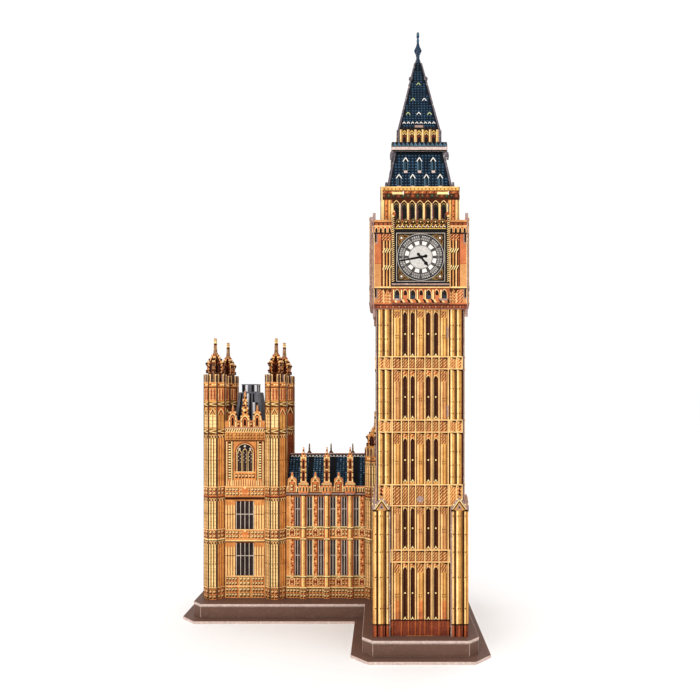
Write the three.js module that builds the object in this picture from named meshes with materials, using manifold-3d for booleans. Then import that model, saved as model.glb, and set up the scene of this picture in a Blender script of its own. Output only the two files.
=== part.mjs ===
// A foam-board assembly model of a Gothic clock tower with a palace wing and a four-turreted gatehouse.
// Every part is a printed foam board, cut, scored and folded, and slotted into its neighbours.
// Millimetres, +Z up, the clock tower's main front faces -Y. The origin is at the middle of the base's underside.
import * as THREE from "three";
import { mergeVertices } from "three/addons/utils/BufferGeometryUtils.js";
import Module from "manifold-3d";

const wasm = await Module();
wasm.setup();

// ---- driving dimensions ----
const board = 2; // thickness of every board
const gap = 0.3; // clearance where two boards meet
const sides = ["front", "right", "back", "left"];

const base = {
  wallHeight: 9.7, // plinth walls between the base plate and the plinth top
  lip: 8.2, // the base plate beyond the plinth
  towerHalf: 42.5, // half the width of the plinth under the clock tower
  left: -188.5,
  buildingFront: 39.55,
  rear: 123.75,
  chamfer: 7.8,
};
const plinthTop = board + base.wallHeight + board; // height of the surface the buildings stand on

const shaft = { half: 32.25, top: 257.1, brace: 160 };
const pier = { leg: 12.6, shoulder: 107.5, tip: 116.5 };
const clock = { half: 34.6, bottom: 252, top: 316.7, floor: 257.4, ledge: 314.4, bracket: 246.5 };
const dial = { half: 20.95, bottom: 255.7, rail: 316, postWidth: 3.4, postTop: 323 };
const belfry = { half: 28.6, top: 342.7, cornice: 336.7 };
const roof = { bottom: 339, bottomHalf: 25, top: 371.4, topHalf: 18.8 };
const tray = { half: 20.55, height: 7 };
const spire = { lanternHalf: 16.4, eaveHalf: 15.9, eave: 389.6, top: 446.8, topHalf: 2.9 };
const finialTop = 472;

const turret = { apothem: 8.8, merlonTop: 207.5, crenelBottom: 200.8, crenelWidth: 3.4 };
const gate = { left: -173.2, right: -120.1, front: 60.05, back: 107.05, facade: 56.25, top: 161.3 };
const link = { x: 33.6, drop: 63.7 }; // the lower turrets on either side of the clock tower
const wing = { left: -110.9, right: 34, front: 56.25, back: 101.25, rail: 110.7, ridge: 137.4, eave: 108 };
const bay = { first: -105.8, pitch: 20.15, count: 7 };

// ---- colours of the printed boards ----
const print = (colour, roughness = 0.5) =>
  new THREE.MeshStandardMaterial({ color: colour, roughness, metalness: 0 });
const materials = {
  stone: print(0xd9a458),
  slate: print(0x243a52),
  plinth: print(0x7a6057),
  lead: print(0x8b8f98),
  dial: print(0xe6e0d2),
};

// ---- making solids ----
const box = (x0, x1, y0, y1, z0, z1) =>
  new THREE.BoxGeometry(x1 - x0, y1 - y0, z1 - z0).translate((x0 + x1) / 2, (y0 + y1) / 2, (z0 + z1) / 2);

const rectangle = (x0, x1, z0, z1) => [
  [x0, z0],
  [x1, z0],
  [x1, z1],
  [x0, z1],
];

function shapeOf(points, holes = []) {
  const shape = new THREE.Shape(points.map(([x, y]) => new THREE.Vector2(x, y)));
  for (const hole of holes) shape.holes.push(new THREE.Path(hole.map(([x, y]) => new THREE.Vector2(x, y))));
  return shape;
}

// A flat plate from z to z + height.
const plate = (points, z, height = board, holes = []) =>
  new THREE.ExtrudeGeometry(shapeOf(points, holes), { depth: height, bevelEnabled: false }).translate(0, 0, z);

// An upright board facing -Y whose outer face is at y = -face; its outline is in x and z.
const upright = (points, face) =>
  new THREE.ExtrudeGeometry(shapeOf(points), { depth: board, bevelEnabled: false })
    .rotateX(Math.PI / 2)
    .translate(0, board - face, 0);

function solidOf(geometry) {
  const bare = geometry.clone();
  bare.deleteAttribute("normal");
  bare.deleteAttribute("uv");
  const merged = mergeVertices(bare, 1e-4);
  return new wasm.Manifold(
    new wasm.Mesh({
      numProp: 3,
      vertProperties: new Float32Array(merged.attributes.position.array),
      triVerts: new Uint32Array(merged.index.array),
    }),
  );
}

function geometryOf(solid) {
  const mesh = solid.getMesh();
  const geometry = new THREE.BufferGeometry();
  geometry.setAttribute("position", new THREE.BufferAttribute(new Float32Array(mesh.vertProperties), 3));
  geometry.setIndex(new THREE.BufferAttribute(new Uint32Array(mesh.triVerts), 1));
  geometry.computeVertexNormals();
  return geometry;
}

const join = (...parts) => geometryOf(parts.map(solidOf).reduce((a, b) => a.add(b)));
const cut = (body, ...tools) => geometryOf(tools.reduce((a, b) => a.subtract(solidOf(b)), solidOf(body)));
const common = (a, b) => geometryOf(solidOf(a).intersect(solidOf(b)));

function piece(parent, name, geometry, material) {
  const mesh = new THREE.Mesh(geometry, material);
  mesh.name = name;
  parent.add(mesh);
  return mesh;
}

// One group for each of a square stage's four sides, turned so that -Y faces outwards.
function eachSide(parent, make) {
  sides.forEach((side, k) => {
    const group = new THREE.Group();
    group.rotation.z = (k * Math.PI) / 2;
    parent.add(group);
    make(group, side, k);
  });
}

// An upright board with slots for tabs that are centred at each x and lie at height z.
const slotted = (points, face, at, z, width) =>
  cut(
    upright(points, face),
    ...at.map((x) => box(x - width / 2, x + width / 2, -face - 1, board - face + 1, z - gap, z + board + gap)),
  );

// The front and back walls of a square stage stand between its two side walls.
const wallHalf = (k, half) => (k % 2 ? half : half - board - gap);

// A square plate with tabs that pass through the walls around it, flush with their outer faces.
function tabbedPlate(inner, outer, z, tabs, tabWidth) {
  const parts = [box(-inner, inner, -inner, inner, z, z + board)];
  for (const x of tabs) {
    const half = tabWidth / 2 - gap;
    parts.push(box(x - half, x + half, -outer, outer, z, z + board));
    parts.push(box(-outer, outer, x - half, x + half, z, z + board));
  }
  return join(...parts);
}

// The quarter of a square plan that lies towards -Y, kept half a gap from its neighbours.
const quarter = (reach, z0, z1) =>
  plate(
    [
      [0, -gap],
      [-reach, -reach - gap],
      [reach, -reach - gap],
    ],
    z0,
    z1 - z0,
  );

// A board bent along horizontal lines: a path of [distance from the axis, z], thickened inwards and mitred.
function bentPanel(path, reach) {
  const inner = path.map(([r, z]) => [r - board, z]).reverse();
  const profile = [...path, ...inner].map(([r, z]) => [-r, z]);
  const strip = new THREE.ExtrudeGeometry(shapeOf(profile), { depth: 2 * reach, bevelEnabled: false })
    .rotateX(Math.PI / 2)
    .rotateZ(Math.PI / 2)
    .translate(-reach, 0, 0);
  const heights = path.map(([, z]) => z);
  return common(strip, quarter(reach, Math.min(...heights) - 1, Math.max(...heights) + 1));
}

// ---- base ----
// The L-shaped outline of the plinth, grown by d, with the outer corners cut off.
function footprint(d) {
  const c = base.chamfer + d * 0.586; // an offset outline's corner cut grows by 2 - sqrt 2
  const left = base.left - d;
  const right = base.towerHalf + d;
  const front = -base.towerHalf - d;
  const rear = base.rear + d;
  const step = base.buildingFront - d;
  const notch = -base.towerHalf - d;
  return [
    [notch + c, front],
    [right - c, front],
    [right, front + c],
    [right, rear - c],
    [right - c, rear],
    [left + c, rear],
    [left, rear - c],
    [left, step + c],
    [left + c, step],
    [notch, step],
    [notch, front + c],
  ];
}

// One strip of board folded round the plinth's outline; its ends meet in the inner corner of the L.
function plinthStrip() {
  const ring = plate(footprint(-gap), board + gap, base.wallHeight - 2 * gap, [footprint(-gap - board)]);
  const x = -base.towerHalf;
  const y = base.buildingFront;
  return cut(ring, box(x - gap, x + board + 1, y - 1, y, 0, plinthTop));
}

function makeBase(root) {
  const top = board + base.wallHeight;
  const foot = 20; // width of the tabs under the walls
  const slots = [];
  for (const s of [-1, 1]) {
    const y = s * (shaft.half - board / 2);
    slots.push(box(-foot / 2, foot / 2, y - board / 2 - gap, y + board / 2 + gap, top - 1, top + board + 1));
    slots.push(box(y - board / 2 - gap, y + board / 2 + gap, -foot / 2, foot / 2, top - 1, top + board + 1));
  }
  piece(root, "base_plate", plate(footprint(base.lip), 0), materials.plinth);
  piece(root, "plinth_top", cut(plate(footprint(0), top), ...slots), materials.plinth);
  piece(root, "plinth_wall", plinthStrip(), materials.plinth);
}

// ---- clock tower ----
function makeShaft(root) {
  const bottom = plinthTop + gap;
  const tab = 10 - gap;
  const braceTab = 6.5;
  eachSide(root, (group, side, k) => {
    const h = wallHalf(k, shaft.half);
    const outline = [
      [-h, bottom],
      [-tab, bottom],
      [-tab, bottom - board],
      [tab, bottom - board],
      [tab, bottom],
      [h, bottom],
      [h, shaft.top],
      [-h, shaft.top],
    ];
    const wall = slotted(outline, shaft.half, [0], shaft.brace, braceTab);
    piece(group, "shaft_wall_" + side, wall, materials.stone);
  });
  const inner = shaft.half - board - gap;
  piece(root, "shaft_brace", tabbedPlate(inner, shaft.half, shaft.brace, [0], braceTab), materials.stone);
  makePiers(root, bottom);
}

// The four folded corner piers, each leg ending in a gable.
function makePiers(root, bottom) {
  const inner = shaft.half + gap;
  const outer = inner + board;
  const near = outer - pier.leg;
  const middle = (near + outer) / 2;
  const corners = ["front_right", "back_right", "back_left", "front_left"];
  const leg = [
    [near, bottom],
    [outer, bottom],
    [outer, pier.shoulder],
    [middle + 1, pier.tip - 2.5],
    [middle, pier.tip],
    [middle - 1, pier.tip - 2.5],
    [near, pier.shoulder],
  ];
  corners.forEach((corner, k) => {
    const group = new THREE.Group();
    group.rotation.z = (k * Math.PI) / 2;
    root.add(group);
    const front = upright(leg, outer);
    const side = upright(leg.map(([x, z]) => [-x, z]).reverse(), outer).rotateZ(Math.PI / 2);
    piece(group, "corner_pier_" + corner, join(front, side), materials.stone);
  });
}

function makeClockStage(root) {
  const tabs = { at: [-16.5, 16.5], width: 6.5 };
  const inner = clock.half - board - gap;
  const outer = clock.half + gap + board;
  eachSide(root, (group, side, k) => {
    const h = wallHalf(k, clock.half);
    const corner = k % 2 ? 5 : 0; // the side walls carry the corner spikes and the brackets
    const outline = corner
      ? [
          [-h + 4, clock.bottom],
          [-h + 3, clock.bracket],
          [-h + 2, clock.bracket],
          [-h, clock.bottom + 4],
          [-h, clock.top + corner],
          [-h + 1, clock.top + corner],
          [-h + 2.5, clock.top],
          [h - 2.5, clock.top],
          [h - 1, clock.top + corner],
          [h, clock.top + corner],
          [h, clock.bottom + 4],
          [h - 2, clock.bracket],
          [h - 3, clock.bracket],
          [h - 4, clock.bottom],
        ].reverse()
      : rectangle(-h, h, clock.bottom, clock.top);
    const wall = slotted(outline, clock.half, tabs.at, clock.floor, tabs.width);
    piece(group, "clock_wall_" + side, wall, materials.stone);

    const post = dial.half - dial.postWidth;
    const panel = [
      [-dial.half, dial.bottom],
      [dial.half, dial.bottom],
      [dial.half, dial.postTop - 3],
      [dial.half - dial.postWidth / 2, dial.postTop],
      [post, dial.postTop - 3],
      [post, dial.rail],
      [-post, dial.rail],
      [-post, dial.postTop - 3],
      [-dial.half + dial.postWidth / 2, dial.postTop],
      [-dial.half, dial.postTop - 3],
    ];
    const overlay = slotted(panel, outer, tabs.at, clock.floor, tabs.width);
    piece(group, "dial_panel_" + side, overlay, materials.dial);
  });
  piece(root, "clock_floor", tabbedPlate(inner, outer, clock.floor, tabs.at, tabs.width), materials.stone);
  piece(root, "clock_ledge", box(-inner, inner, -inner, inner, clock.ledge, clock.ledge + board), materials.stone);
}

function makeBelfry(root) {
  const tabs = { at: [-16.5, 16.5], width: 7.4 };
  const bottom = clock.ledge + board + gap;
  eachSide(root, (group, side, k) => {
    const h = wallHalf(k, belfry.half);
    const outline = rectangle(-h, h, bottom, belfry.top);
    const wall = slotted(outline, belfry.half, tabs.at, belfry.cornice, tabs.width);
    piece(group, "belfry_wall_" + side, wall, materials.stone);
  });
  const inner = belfry.half - board - gap;
  const plateGeometry = tabbedPlate(inner, belfry.half, belfry.cornice, tabs.at, tabs.width);
  piece(root, "belfry_cornice", plateGeometry, materials.stone);
}

function makeRoofs(root) {
  const trayBottom = roof.top + gap;
  const lanternFoot = trayBottom + board + gap;
  eachSide(root, (group, side) => {
    const slope = [
      [roof.bottomHalf, roof.bottom],
      [roof.topHalf, roof.top],
    ];
    piece(group, "roof_panel_" + side, bentPanel(slope, 30), materials.slate);
    const lantern = [
      [spire.lanternHalf, lanternFoot],
      [spire.lanternHalf, spire.eave - 1],
      [spire.eaveHalf, spire.eave],
      [spire.topHalf, spire.top],
    ];
    piece(group, "spire_panel_" + side, bentPanel(lantern, 30), materials.slate);
  });
  const h = tray.half;
  const hollow = h - board;
  const rim = box(-h, h, -h, h, trayBottom, trayBottom + tray.height);
  const well = box(-hollow, hollow, -hollow, hollow, trayBottom + board, trayBottom + tray.height + 1);
  piece(root, "lantern_tray", cut(rim, well), materials.slate);
  makeFinial(root);
}

// The finial is two boards of the same outline, halved into each other on the axis.
function makeFinial(root) {
  const z0 = spire.top + gap;
  const half = [
    [2.5, z0],
    [1.2, z0 + 4.5],
    [1.5, z0 + 7.5],
    [2.9, z0 + 10.5],
    [1.3, z0 + 14],
    [0.7, z0 + 17],
    [0.7, finialTop - 4.2],
    [1.1, finialTop - 3.4],
    [0.6, finialTop - 2.4],
    [1.0, finialTop - 1.2],
    [0.5, finialTop],
  ];
  const outline = [...half, ...half.map(([x, z]) => [-x, z]).reverse()];
  const thickness = 1.4;
  const blade = () =>
    new THREE.ExtrudeGeometry(shapeOf(outline), { depth: thickness, bevelEnabled: false })
      .rotateX(Math.PI / 2)
      .translate(0, thickness / 2, 0);
  piece(root, "finial", join(blade(), blade().rotateZ(Math.PI / 2)), materials.slate);
}

// ---- turrets ----
const octagon = (apothem) => {
  const r = apothem / Math.cos(Math.PI / 8);
  return Array.from({ length: 8 }, (_, i) => {
    const a = ((i + 0.5) * Math.PI) / 4;
    return [r * Math.cos(a), r * Math.sin(a)];
  });
};

// An octagonal tube of folded board whose top is cut into merlons.
function turretTube(drop) {
  const bottom = plinthTop + gap;
  const top = turret.merlonTop - drop;
  const sill = turret.crenelBottom - drop;
  const tube = plate(octagon(turret.apothem), bottom, top - bottom, [octagon(turret.apothem - board)]);
  const w = turret.crenelWidth / 2;
  const crenels = [0, 1, 2, 3].map((i) => box(-w, w, -12, 12, sill, top + 1).rotateZ((i * Math.PI) / 4));
  return cut(tube, ...crenels);
}

// The crown in a turret's top: two boards with an ogee outline, halved into each other.
function crown(drop, foot) {
  const z = turret.merlonTop - drop;
  const half = [
    [foot, z - 12],
    [foot, z + 0.6],
    [8.4, z + 1.4],
    [6.9, z + 4],
    [7.2, z + 7],
    [8.6, z + 9.6],
    [6.2, z + 11.4],
    [3.6, z + 14],
    [2.2, z + 17.4],
    [1.4, z + 19.4],
    [0.9, z + 31.3],
  ];
  const outline = [...half, ...half.map(([x, h]) => [-x, h]).reverse()];
  const blade = () =>
    new THREE.ExtrudeGeometry(shapeOf(outline), { depth: board, bevelEnabled: false })
      .rotateX(Math.PI / 2)
      .translate(0, board / 2, 0);
  return join(blade(), blade().rotateZ(Math.PI / 2));
}

function makeTurret(root, place, x, y, turn) {
  const group = new THREE.Group();
  group.position.set(x, y, 0);
  root.add(group);
  piece(group, "gate_turret_" + place, turretTube(0), materials.stone);
  piece(group, "gate_crown_" + place, crown(0, 5.9).rotateZ(turn), materials.stone);
}

// ---- gatehouse ----
function makeGatehouse(root) {
  const turn = Math.PI / 4; // the crowns on the right stand corner-wise
  makeTurret(root, "front_left", gate.left, gate.front, 0);
  makeTurret(root, "front_right", gate.right, gate.front, turn);
  makeTurret(root, "back_right", gate.right, gate.back, turn);
  makeTurret(root, "back_left", gate.left, gate.back, turn);

  const centre = new THREE.Group();
  centre.position.set((gate.left + gate.right) / 2, (gate.front + gate.back) / 2, 0);
  root.add(centre);
  const halfWidth = (gate.right - gate.left) / 2;
  const halfDepth = (gate.back - gate.front) / 2;
  const clear = turret.apothem + gap;
  const face = halfDepth + gate.front - gate.facade;
  const parapet = gableParapet(halfWidth - clear);
  piece(centre, "gate_facade_front", upright(parapet, face), materials.stone);
  piece(centre, "gate_facade_back", upright(parapet, face).rotateZ(Math.PI), materials.stone);
  const sideWall = rectangle(-halfDepth + clear, halfDepth - clear, plinthTop + gap, gate.top);
  piece(centre, "gate_wall_left", upright(sideWall, halfWidth + 3.8).rotateZ(-Math.PI / 2), materials.stone);
  piece(centre, "gate_wall_right", upright(sideWall, halfWidth + 3.8).rotateZ(Math.PI / 2), materials.stone);
  piece(centre, "gate_roof", gateRoof(), materials.lead);
}

// The gatehouse front: a wall whose parapet has a tall gable between two lower ones.
function gableParapet(half) {
  const z = gate.top;
  const gable = (x, w, shoulder, neck, tip) => [
    [x + w + 1.4, z + 6],
    [x + w, shoulder],
    [x + w / 3, neck],
    [x + 0.4, tip],
    [x - 0.4, tip],
    [x - w / 3, neck],
    [x - w, shoulder],
    [x - w - 1.4, z + 6],
  ];
  return [
    [-half, plinthTop + gap],
    [half, plinthTop + gap],
    [half, z + 6],
    ...gable(10.6, 2.8, 173.6, 176, 181),
    ...gable(0, 3.1, 171.6, 188, 193.3),
    ...gable(-10.6, 2.8, 173.6, 176, 181),
    [-half, z + 6],
  ];
}

// A steep hollow roof with a box crest, standing inside the parapets.
function gateRoof() {
  const bottom = 150;
  const shoulder = 192;
  const crest = 199.4;
  const frustum = (r0, r1, z0, z1) =>
    new THREE.CylinderGeometry(r1 * Math.SQRT2, r0 * Math.SQRT2, z1 - z0, 4)
      .rotateY(Math.PI / 4)
      .rotateX(Math.PI / 2)
      .translate(0, 0, (z0 + z1) / 2);
  const outer = join(frustum(14, 9, bottom, shoulder), box(-7, 7, -7, 7, shoulder - 1, crest));
  const inside = frustum(12, 7, bottom - 1, shoulder - board);
  return cut(outer, inside, box(-5, 5, -5, 5, shoulder - 3, crest - board));
}

// ---- palace wing ----
const bayCentres = Array.from({ length: bay.count + 1 }, (_, i) => bay.first + i * bay.pitch);

// A wing front whose parapet carries one small gablet over each pilaster.
function wingFacade(x0, x1) {
  const z = wing.rail;
  const gablets = bayCentres
    .filter((x) => x - 4 > x0 && x + 4 < x1)
    .reverse()
    .flatMap((x) => [
      [x + 4.2, z],
      [x + 3.8, z + 6.2],
      [x + 1.2, z + 8],
      [x + 0.6, z + 12.1],
      [x - 0.6, z + 12.1],
      [x - 1.2, z + 8],
      [x - 3.8, z + 6.2],
      [x - 4.2, z],
    ]);
  return [[x0, plinthTop + gap], [x1, plinthTop + gap], [x1, z], ...gablets, [x0, z]];
}

function makeWing(root) {
  const { left, right, front, back } = wing;
  const end = right + board + gap;
  const clear = turret.apothem + gap;
  const turretSpace = [-link.x, link.x].map((x) => plate(octagon(clear), 0, 200).translate(x, gate.front, 0));
  piece(root, "wing_facade_front", upright(wingFacade(left, -link.x - clear), -front), materials.stone);
  const behindTower = wingFacade(-link.x + clear, link.x - clear);
  piece(root, "wing_facade_inner", upright(behindTower, -front), materials.stone);
  const rear = upright(wingFacade(-end, -left).map(([x, z]) => [x, z]), back).rotateZ(Math.PI);
  piece(root, "wing_facade_back", rear, materials.stone);

  // The end wall is a gable that follows the roof's slope.
  const middle = (front + back) / 2;
  const reach = (back - front) / 2 - board - gap;
  const drop = (wing.ridge - wing.eave) / reach;
  const gable = [
    [-reach, plinthTop + gap],
    [reach, plinthTop + gap],
    [reach, wing.eave - 3],
    [0, wing.ridge - 3],
    [-reach, wing.eave - 3],
  ];
  const endWall = upright(gable, end).rotateZ(Math.PI / 2).translate(0, middle, 0);
  piece(root, "wing_end_wall", cut(endWall, ...turretSpace), materials.stone);

  // One board scored along the ridge and folded.
  const thick = board * Math.hypot(1, drop);
  const fold = [
    [-reach, wing.eave],
    [0, wing.ridge],
    [reach, wing.eave],
    [reach, wing.eave - thick],
    [0, wing.ridge - thick],
    [-reach, wing.eave - thick],
  ].reverse();
  const roofBoard = new THREE.ExtrudeGeometry(shapeOf(fold), { depth: right - gap - left, bevelEnabled: false })
    .rotateX(Math.PI / 2)
    .rotateZ(Math.PI / 2)
    .translate(left, middle, 0);
  piece(root, "wing_roof", cut(roofBoard, ...turretSpace), materials.slate);

  // The turrets beside the clock tower are lower, with the crown's feet fixed in the tube.
  const linkTurret = join(turretTube(link.drop), crown(link.drop, turret.apothem - board / 2));
  piece(root, "link_turret_left", linkTurret, materials.stone).position.set(-link.x, gate.front, 0);
  piece(root, "link_turret_right", linkTurret, materials.stone).position.set(link.x, gate.front, 0);

  // Buttress boards with tall pinnacles stand against the front between the bays.
  for (const i of [0, 1, 2]) {
    const x = bayCentres[i] + bay.pitch / 2;
    const outline = [
      [x - 2.6, plinthTop + gap],
      [x + 2.6, plinthTop + gap],
      [x + 2.6, 103],
      [x + 4.4, 105.5],
      [x + 4.4, 113],
      [x + 2.5, 115],
      [x + 2.5, 136.5],
      [x + 0.9, 139.5],
      [x + 0.5, 144.5],
      [x - 0.5, 144.5],
      [x - 0.9, 139.5],
      [x - 2.5, 136.5],
      [x - 2.5, 115],
      [x - 4.4, 113],
      [x - 4.4, 105.5],
      [x - 2.6, 103],
    ];
    piece(root, "wing_buttress_" + (i + 1), upright(outline, -(front - board - gap)), materials.stone);
  }
}

// ---- the whole model ----
const model = new THREE.Group();
const assembly = new THREE.Group();
const grown = base.lip;
assembly.position.set(
  -(base.left - grown + base.towerHalf + grown) / 2,
  -(-base.towerHalf - grown + base.rear + grown) / 2,
  0,
);
model.add(assembly);
makeBase(assembly);
makeShaft(assembly);
makeClockStage(assembly);
makeBelfry(assembly);
makeRoofs(assembly);
makeGatehouse(assembly);
makeWing(assembly);

export default model;
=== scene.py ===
"""Foam-board model of a Gothic clock tower, palace wing and gatehouse: the printed boards on the CAD frame.

A printed board is its CAD board with softened cut edges, and the printed stonework stands on it as thin
layers of ink. Only the roof hooks and the rear pinnacles have no CAD board. Drawing is in millimetres on the
face of a board: u across, v up, and h out of the face.
"""

import math
import random

import bmesh
import bpy
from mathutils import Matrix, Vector


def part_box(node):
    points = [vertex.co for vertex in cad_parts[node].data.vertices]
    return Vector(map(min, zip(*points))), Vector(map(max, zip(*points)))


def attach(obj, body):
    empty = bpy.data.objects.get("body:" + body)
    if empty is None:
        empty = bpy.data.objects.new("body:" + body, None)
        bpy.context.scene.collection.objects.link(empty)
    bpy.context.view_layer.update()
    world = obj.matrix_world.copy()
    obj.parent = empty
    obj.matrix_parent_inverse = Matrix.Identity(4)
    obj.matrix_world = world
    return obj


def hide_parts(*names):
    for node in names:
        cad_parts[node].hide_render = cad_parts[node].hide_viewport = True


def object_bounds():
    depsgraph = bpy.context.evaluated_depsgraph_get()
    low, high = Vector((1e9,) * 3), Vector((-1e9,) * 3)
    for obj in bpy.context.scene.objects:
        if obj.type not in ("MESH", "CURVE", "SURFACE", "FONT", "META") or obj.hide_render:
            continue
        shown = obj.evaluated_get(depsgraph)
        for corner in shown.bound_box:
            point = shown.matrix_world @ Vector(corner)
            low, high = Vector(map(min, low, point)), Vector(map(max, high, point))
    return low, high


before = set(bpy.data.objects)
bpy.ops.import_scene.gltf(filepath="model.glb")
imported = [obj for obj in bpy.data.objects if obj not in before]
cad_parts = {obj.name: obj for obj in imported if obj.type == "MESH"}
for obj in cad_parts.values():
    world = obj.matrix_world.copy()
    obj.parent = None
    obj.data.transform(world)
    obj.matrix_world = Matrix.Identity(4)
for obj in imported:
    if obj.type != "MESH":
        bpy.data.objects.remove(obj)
cad_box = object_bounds()
MM = 0.001
UP = Vector((0, 0, 1))
FACING = {
    "front": Vector((0, -1, 0)),
    "right": Vector((1, 0, 0)),
    "back": Vector((0, 1, 0)),
    "left": Vector((-1, 0, 0)),
}
dice = random.Random(7)
BARE_CARD = (236, 222, 210)  # what shows where the print is rubbed off
SPECKLE = 1500.0  # scale of the finest print grain
CUT_ANGLE = 0.6  # radians; edges sharper than this are softened
INK_FOOT = -0.1  # the print starts this far inside its board
KNOB_PROUD = 0.25


# ---------------------------------------------------------------- materials
def linear(r, g, b):
    """An sRGB colour from 0 to 255 as linear light."""
    toe = 10.3 / 255
    parts = [c / 255 for c in (r, g, b)]
    return tuple(c / 12.92 if c < toe else ((c + 0.055) / 1.055) ** 2.4 for c in parts) + (1.0,)


def blend(colour, factor):
    return tuple(min(1.0, c * factor) for c in colour[:3]) + (1.0,)


def feed(tree, node, inputs):
    """Each input gets a link if its value is a socket, and otherwise the value."""
    for key, value in inputs:
        if hasattr(value, "links"):
            tree.links.new(value, node.inputs[key])
        else:
            node.inputs[key].default_value = value


def add(tree, kind, inputs=(), **settings):
    node = tree.nodes.new(kind)
    for key, value in settings.items():
        setattr(node, key, value)
    feed(tree, node, inputs)
    return node


def printed(
    name, colour, spread=0.16, warm=0.0, mottle=110.0,
    roughness=0.46, coat=0.02, bump=0.15, grain=0.16, worn=0.0,
):
    """Ink on a laminated board: tinted patches, print speckle, rubbed spots, and an uneven satin film."""
    material = bpy.data.materials.new(name)
    material.use_nodes = True
    tree = material.node_tree
    where = add(tree, "ShaderNodeTexCoord").outputs["Object"]

    def noise(scale, detail, rough=0.5):
        inputs = [("Vector", where), ("Scale", scale), ("Detail", detail), ("Roughness", rough)]
        return add(tree, "ShaderNodeTexNoise", inputs).outputs["Fac"]

    def ramp(value, from_low, from_high, low=0.0, high=1.0):
        ends = [("From Min", from_low), ("From Max", from_high), ("To Min", low), ("To Max", high)]
        return add(tree, "ShaderNodeMapRange", [("Value", value), *ends]).outputs["Result"]

    def mix(factor, a, b):
        inputs = [("Factor", factor), ("A", a), ("B", b)]
        return add(tree, "ShaderNodeMix", inputs, data_type="RGBA").outputs["Result"]

    broad, fine = noise(mottle, 4.0, 0.65), noise(SPECKLE, 2.0)
    low, high = blend(colour, 1 - spread), blend(colour, 1 + spread)
    warmed = (low[0], low[1] * (1 - warm), low[2] * (1 - 1.6 * warm), 1)
    tone = mix(ramp(broad, 0.36, 0.64), warmed, high)
    speck = ramp(fine, 0.35, 0.65, 1 - grain, 1 + grain)
    inked = add(tree, "ShaderNodeVectorMath", [(0, tone), ("Scale", speck)], operation="SCALE")
    surface = inked.outputs["Vector"]
    if worn:
        spots = ramp(noise(420.0, 5.0, 0.7), 0.56, 0.66, 0.0, worn)
        surface = mix(spots, surface, linear(*BARE_CARD))
    dents = add(tree, "ShaderNodeBump", [("Height", fine), ("Strength", bump), ("Distance", 0.0001)])
    feed(tree, tree.nodes["Principled BSDF"], [
        ("Base Color", surface),
        ("Roughness", ramp(broad, 0.0, 1.0, roughness - 0.1, roughness + 0.1)),
        ("Normal", dents.outputs["Normal"]),
        ("Specular IOR Level", 0.07),
        ("Coat Weight", coat),
        ("Coat Roughness", 0.25),
    ])
    return material


STONE = {"spread": 0.17, "warm": 0.12}
CUT = {"spread": 0.2, "mottle": 700.0, "roughness": 0.75, "coat": 0.0, "bump": 0.6, "worn": 0.5}
INKS = {
    "gold": ((214, 156, 84), STONE),
    "amber": ((212, 142, 78), STONE),
    "orange": ((214, 126, 68), STONE),
    "yellow": ((226, 172, 94), STONE),
    "cream": ((253, 220, 152), {"spread": 0.1, "warm": 0.05}),
    "pale": ((243, 198, 132), {"spread": 0.12, "warm": 0.06}),
    "olive": ((132, 84, 36), {}),
    "rust": ((164, 84, 46), STONE),
    "russet": ((170, 104, 54), STONE),
    "clay": ((198, 114, 70), STONE),
    "sand": ((204, 144, 88), STONE),
    "brown": ((76, 32, 6), {"spread": 0.25}),
    "dark": ((38, 13, 3), {"spread": 0.25}),
    "umber": ((84, 52, 34), {"spread": 0.2}),
    "redstone": ((122, 56, 38), {"spread": 0.25}),
    "glass": ((34, 26, 26), {"spread": 0.4, "roughness": 0.3}),
    "blueglass": ((44, 56, 68), {"spread": 0.4, "roughness": 0.3}),
    "lead_bar": ((200, 184, 168), {}),
    "black": ((14, 10, 9), {"spread": 0.25, "roughness": 0.36}),
    "bronze": ((62, 48, 32), {"spread": 0.35}),
    "gilt": ((206, 170, 86), {"spread": 0.2}),
    "old_gold": ((142, 112, 62), {"spread": 0.25}),
    "green": ((38, 58, 38), {}),
    "lime": ((186, 196, 140), {}),
    "white": ((236, 230, 220), {"spread": 0.05, "grain": 0.05}),
    "dial_grey": ((150, 145, 140), {"spread": 0.12}),
    "dial_line": ((64, 58, 56), {}),
    "dial_mid": ((84, 79, 77), {}),
    "dial_tick": ((164, 158, 152), {}),
    "dial_white": ((196, 191, 185), {"spread": 0.12, "mottle": 900.0, "grain": 0.12}),
    "edge": ((158, 128, 118), CUT),
    "gilt_edge": ((150, 108, 74), CUT),
    "base": ((108, 79, 67), {"spread": 0.08, "mottle": 40.0, "roughness": 0.5, "grain": 0.06, "worn": 0.05}),
    "base_edge": (
        (204, 180, 169),
        {"spread": 0.12, "mottle": 500.0, "roughness": 0.8, "coat": 0.0, "bump": 0.6, "worn": 0.6},
    ),
    "slate": ((10, 18, 26), {"spread": 0.25}),
    "slate_a": ((28, 52, 76), {"spread": 0.35}),
    "slate_b": ((62, 94, 112), {"spread": 0.3}),
    "slate_c": ((20, 38, 58), {"spread": 0.35}),
    "slate_shade": ((8, 11, 16), {"spread": 0.25}),
    "slate_light": ((96, 122, 138), {}),
    "slate_edge": ((98, 90, 96), CUT),
    "lead": ((104, 104, 110), {"spread": 0.25}),
    "lead_dark": ((16, 15, 18), {"spread": 0.25}),
    # pale lead: painted glare reflection on the gate roof, and the finial's printed speckle
    "lead_light": ((222, 222, 224), {"spread": 0.08, "roughness": 0.25}),
    "core": ((206, 196, 188), {"spread": 0.05, "roughness": 0.7, "coat": 0.0}),
}
materials = {name: printed(name, linear(*rgb), **look) for name, (rgb, look) in INKS.items()}


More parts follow.
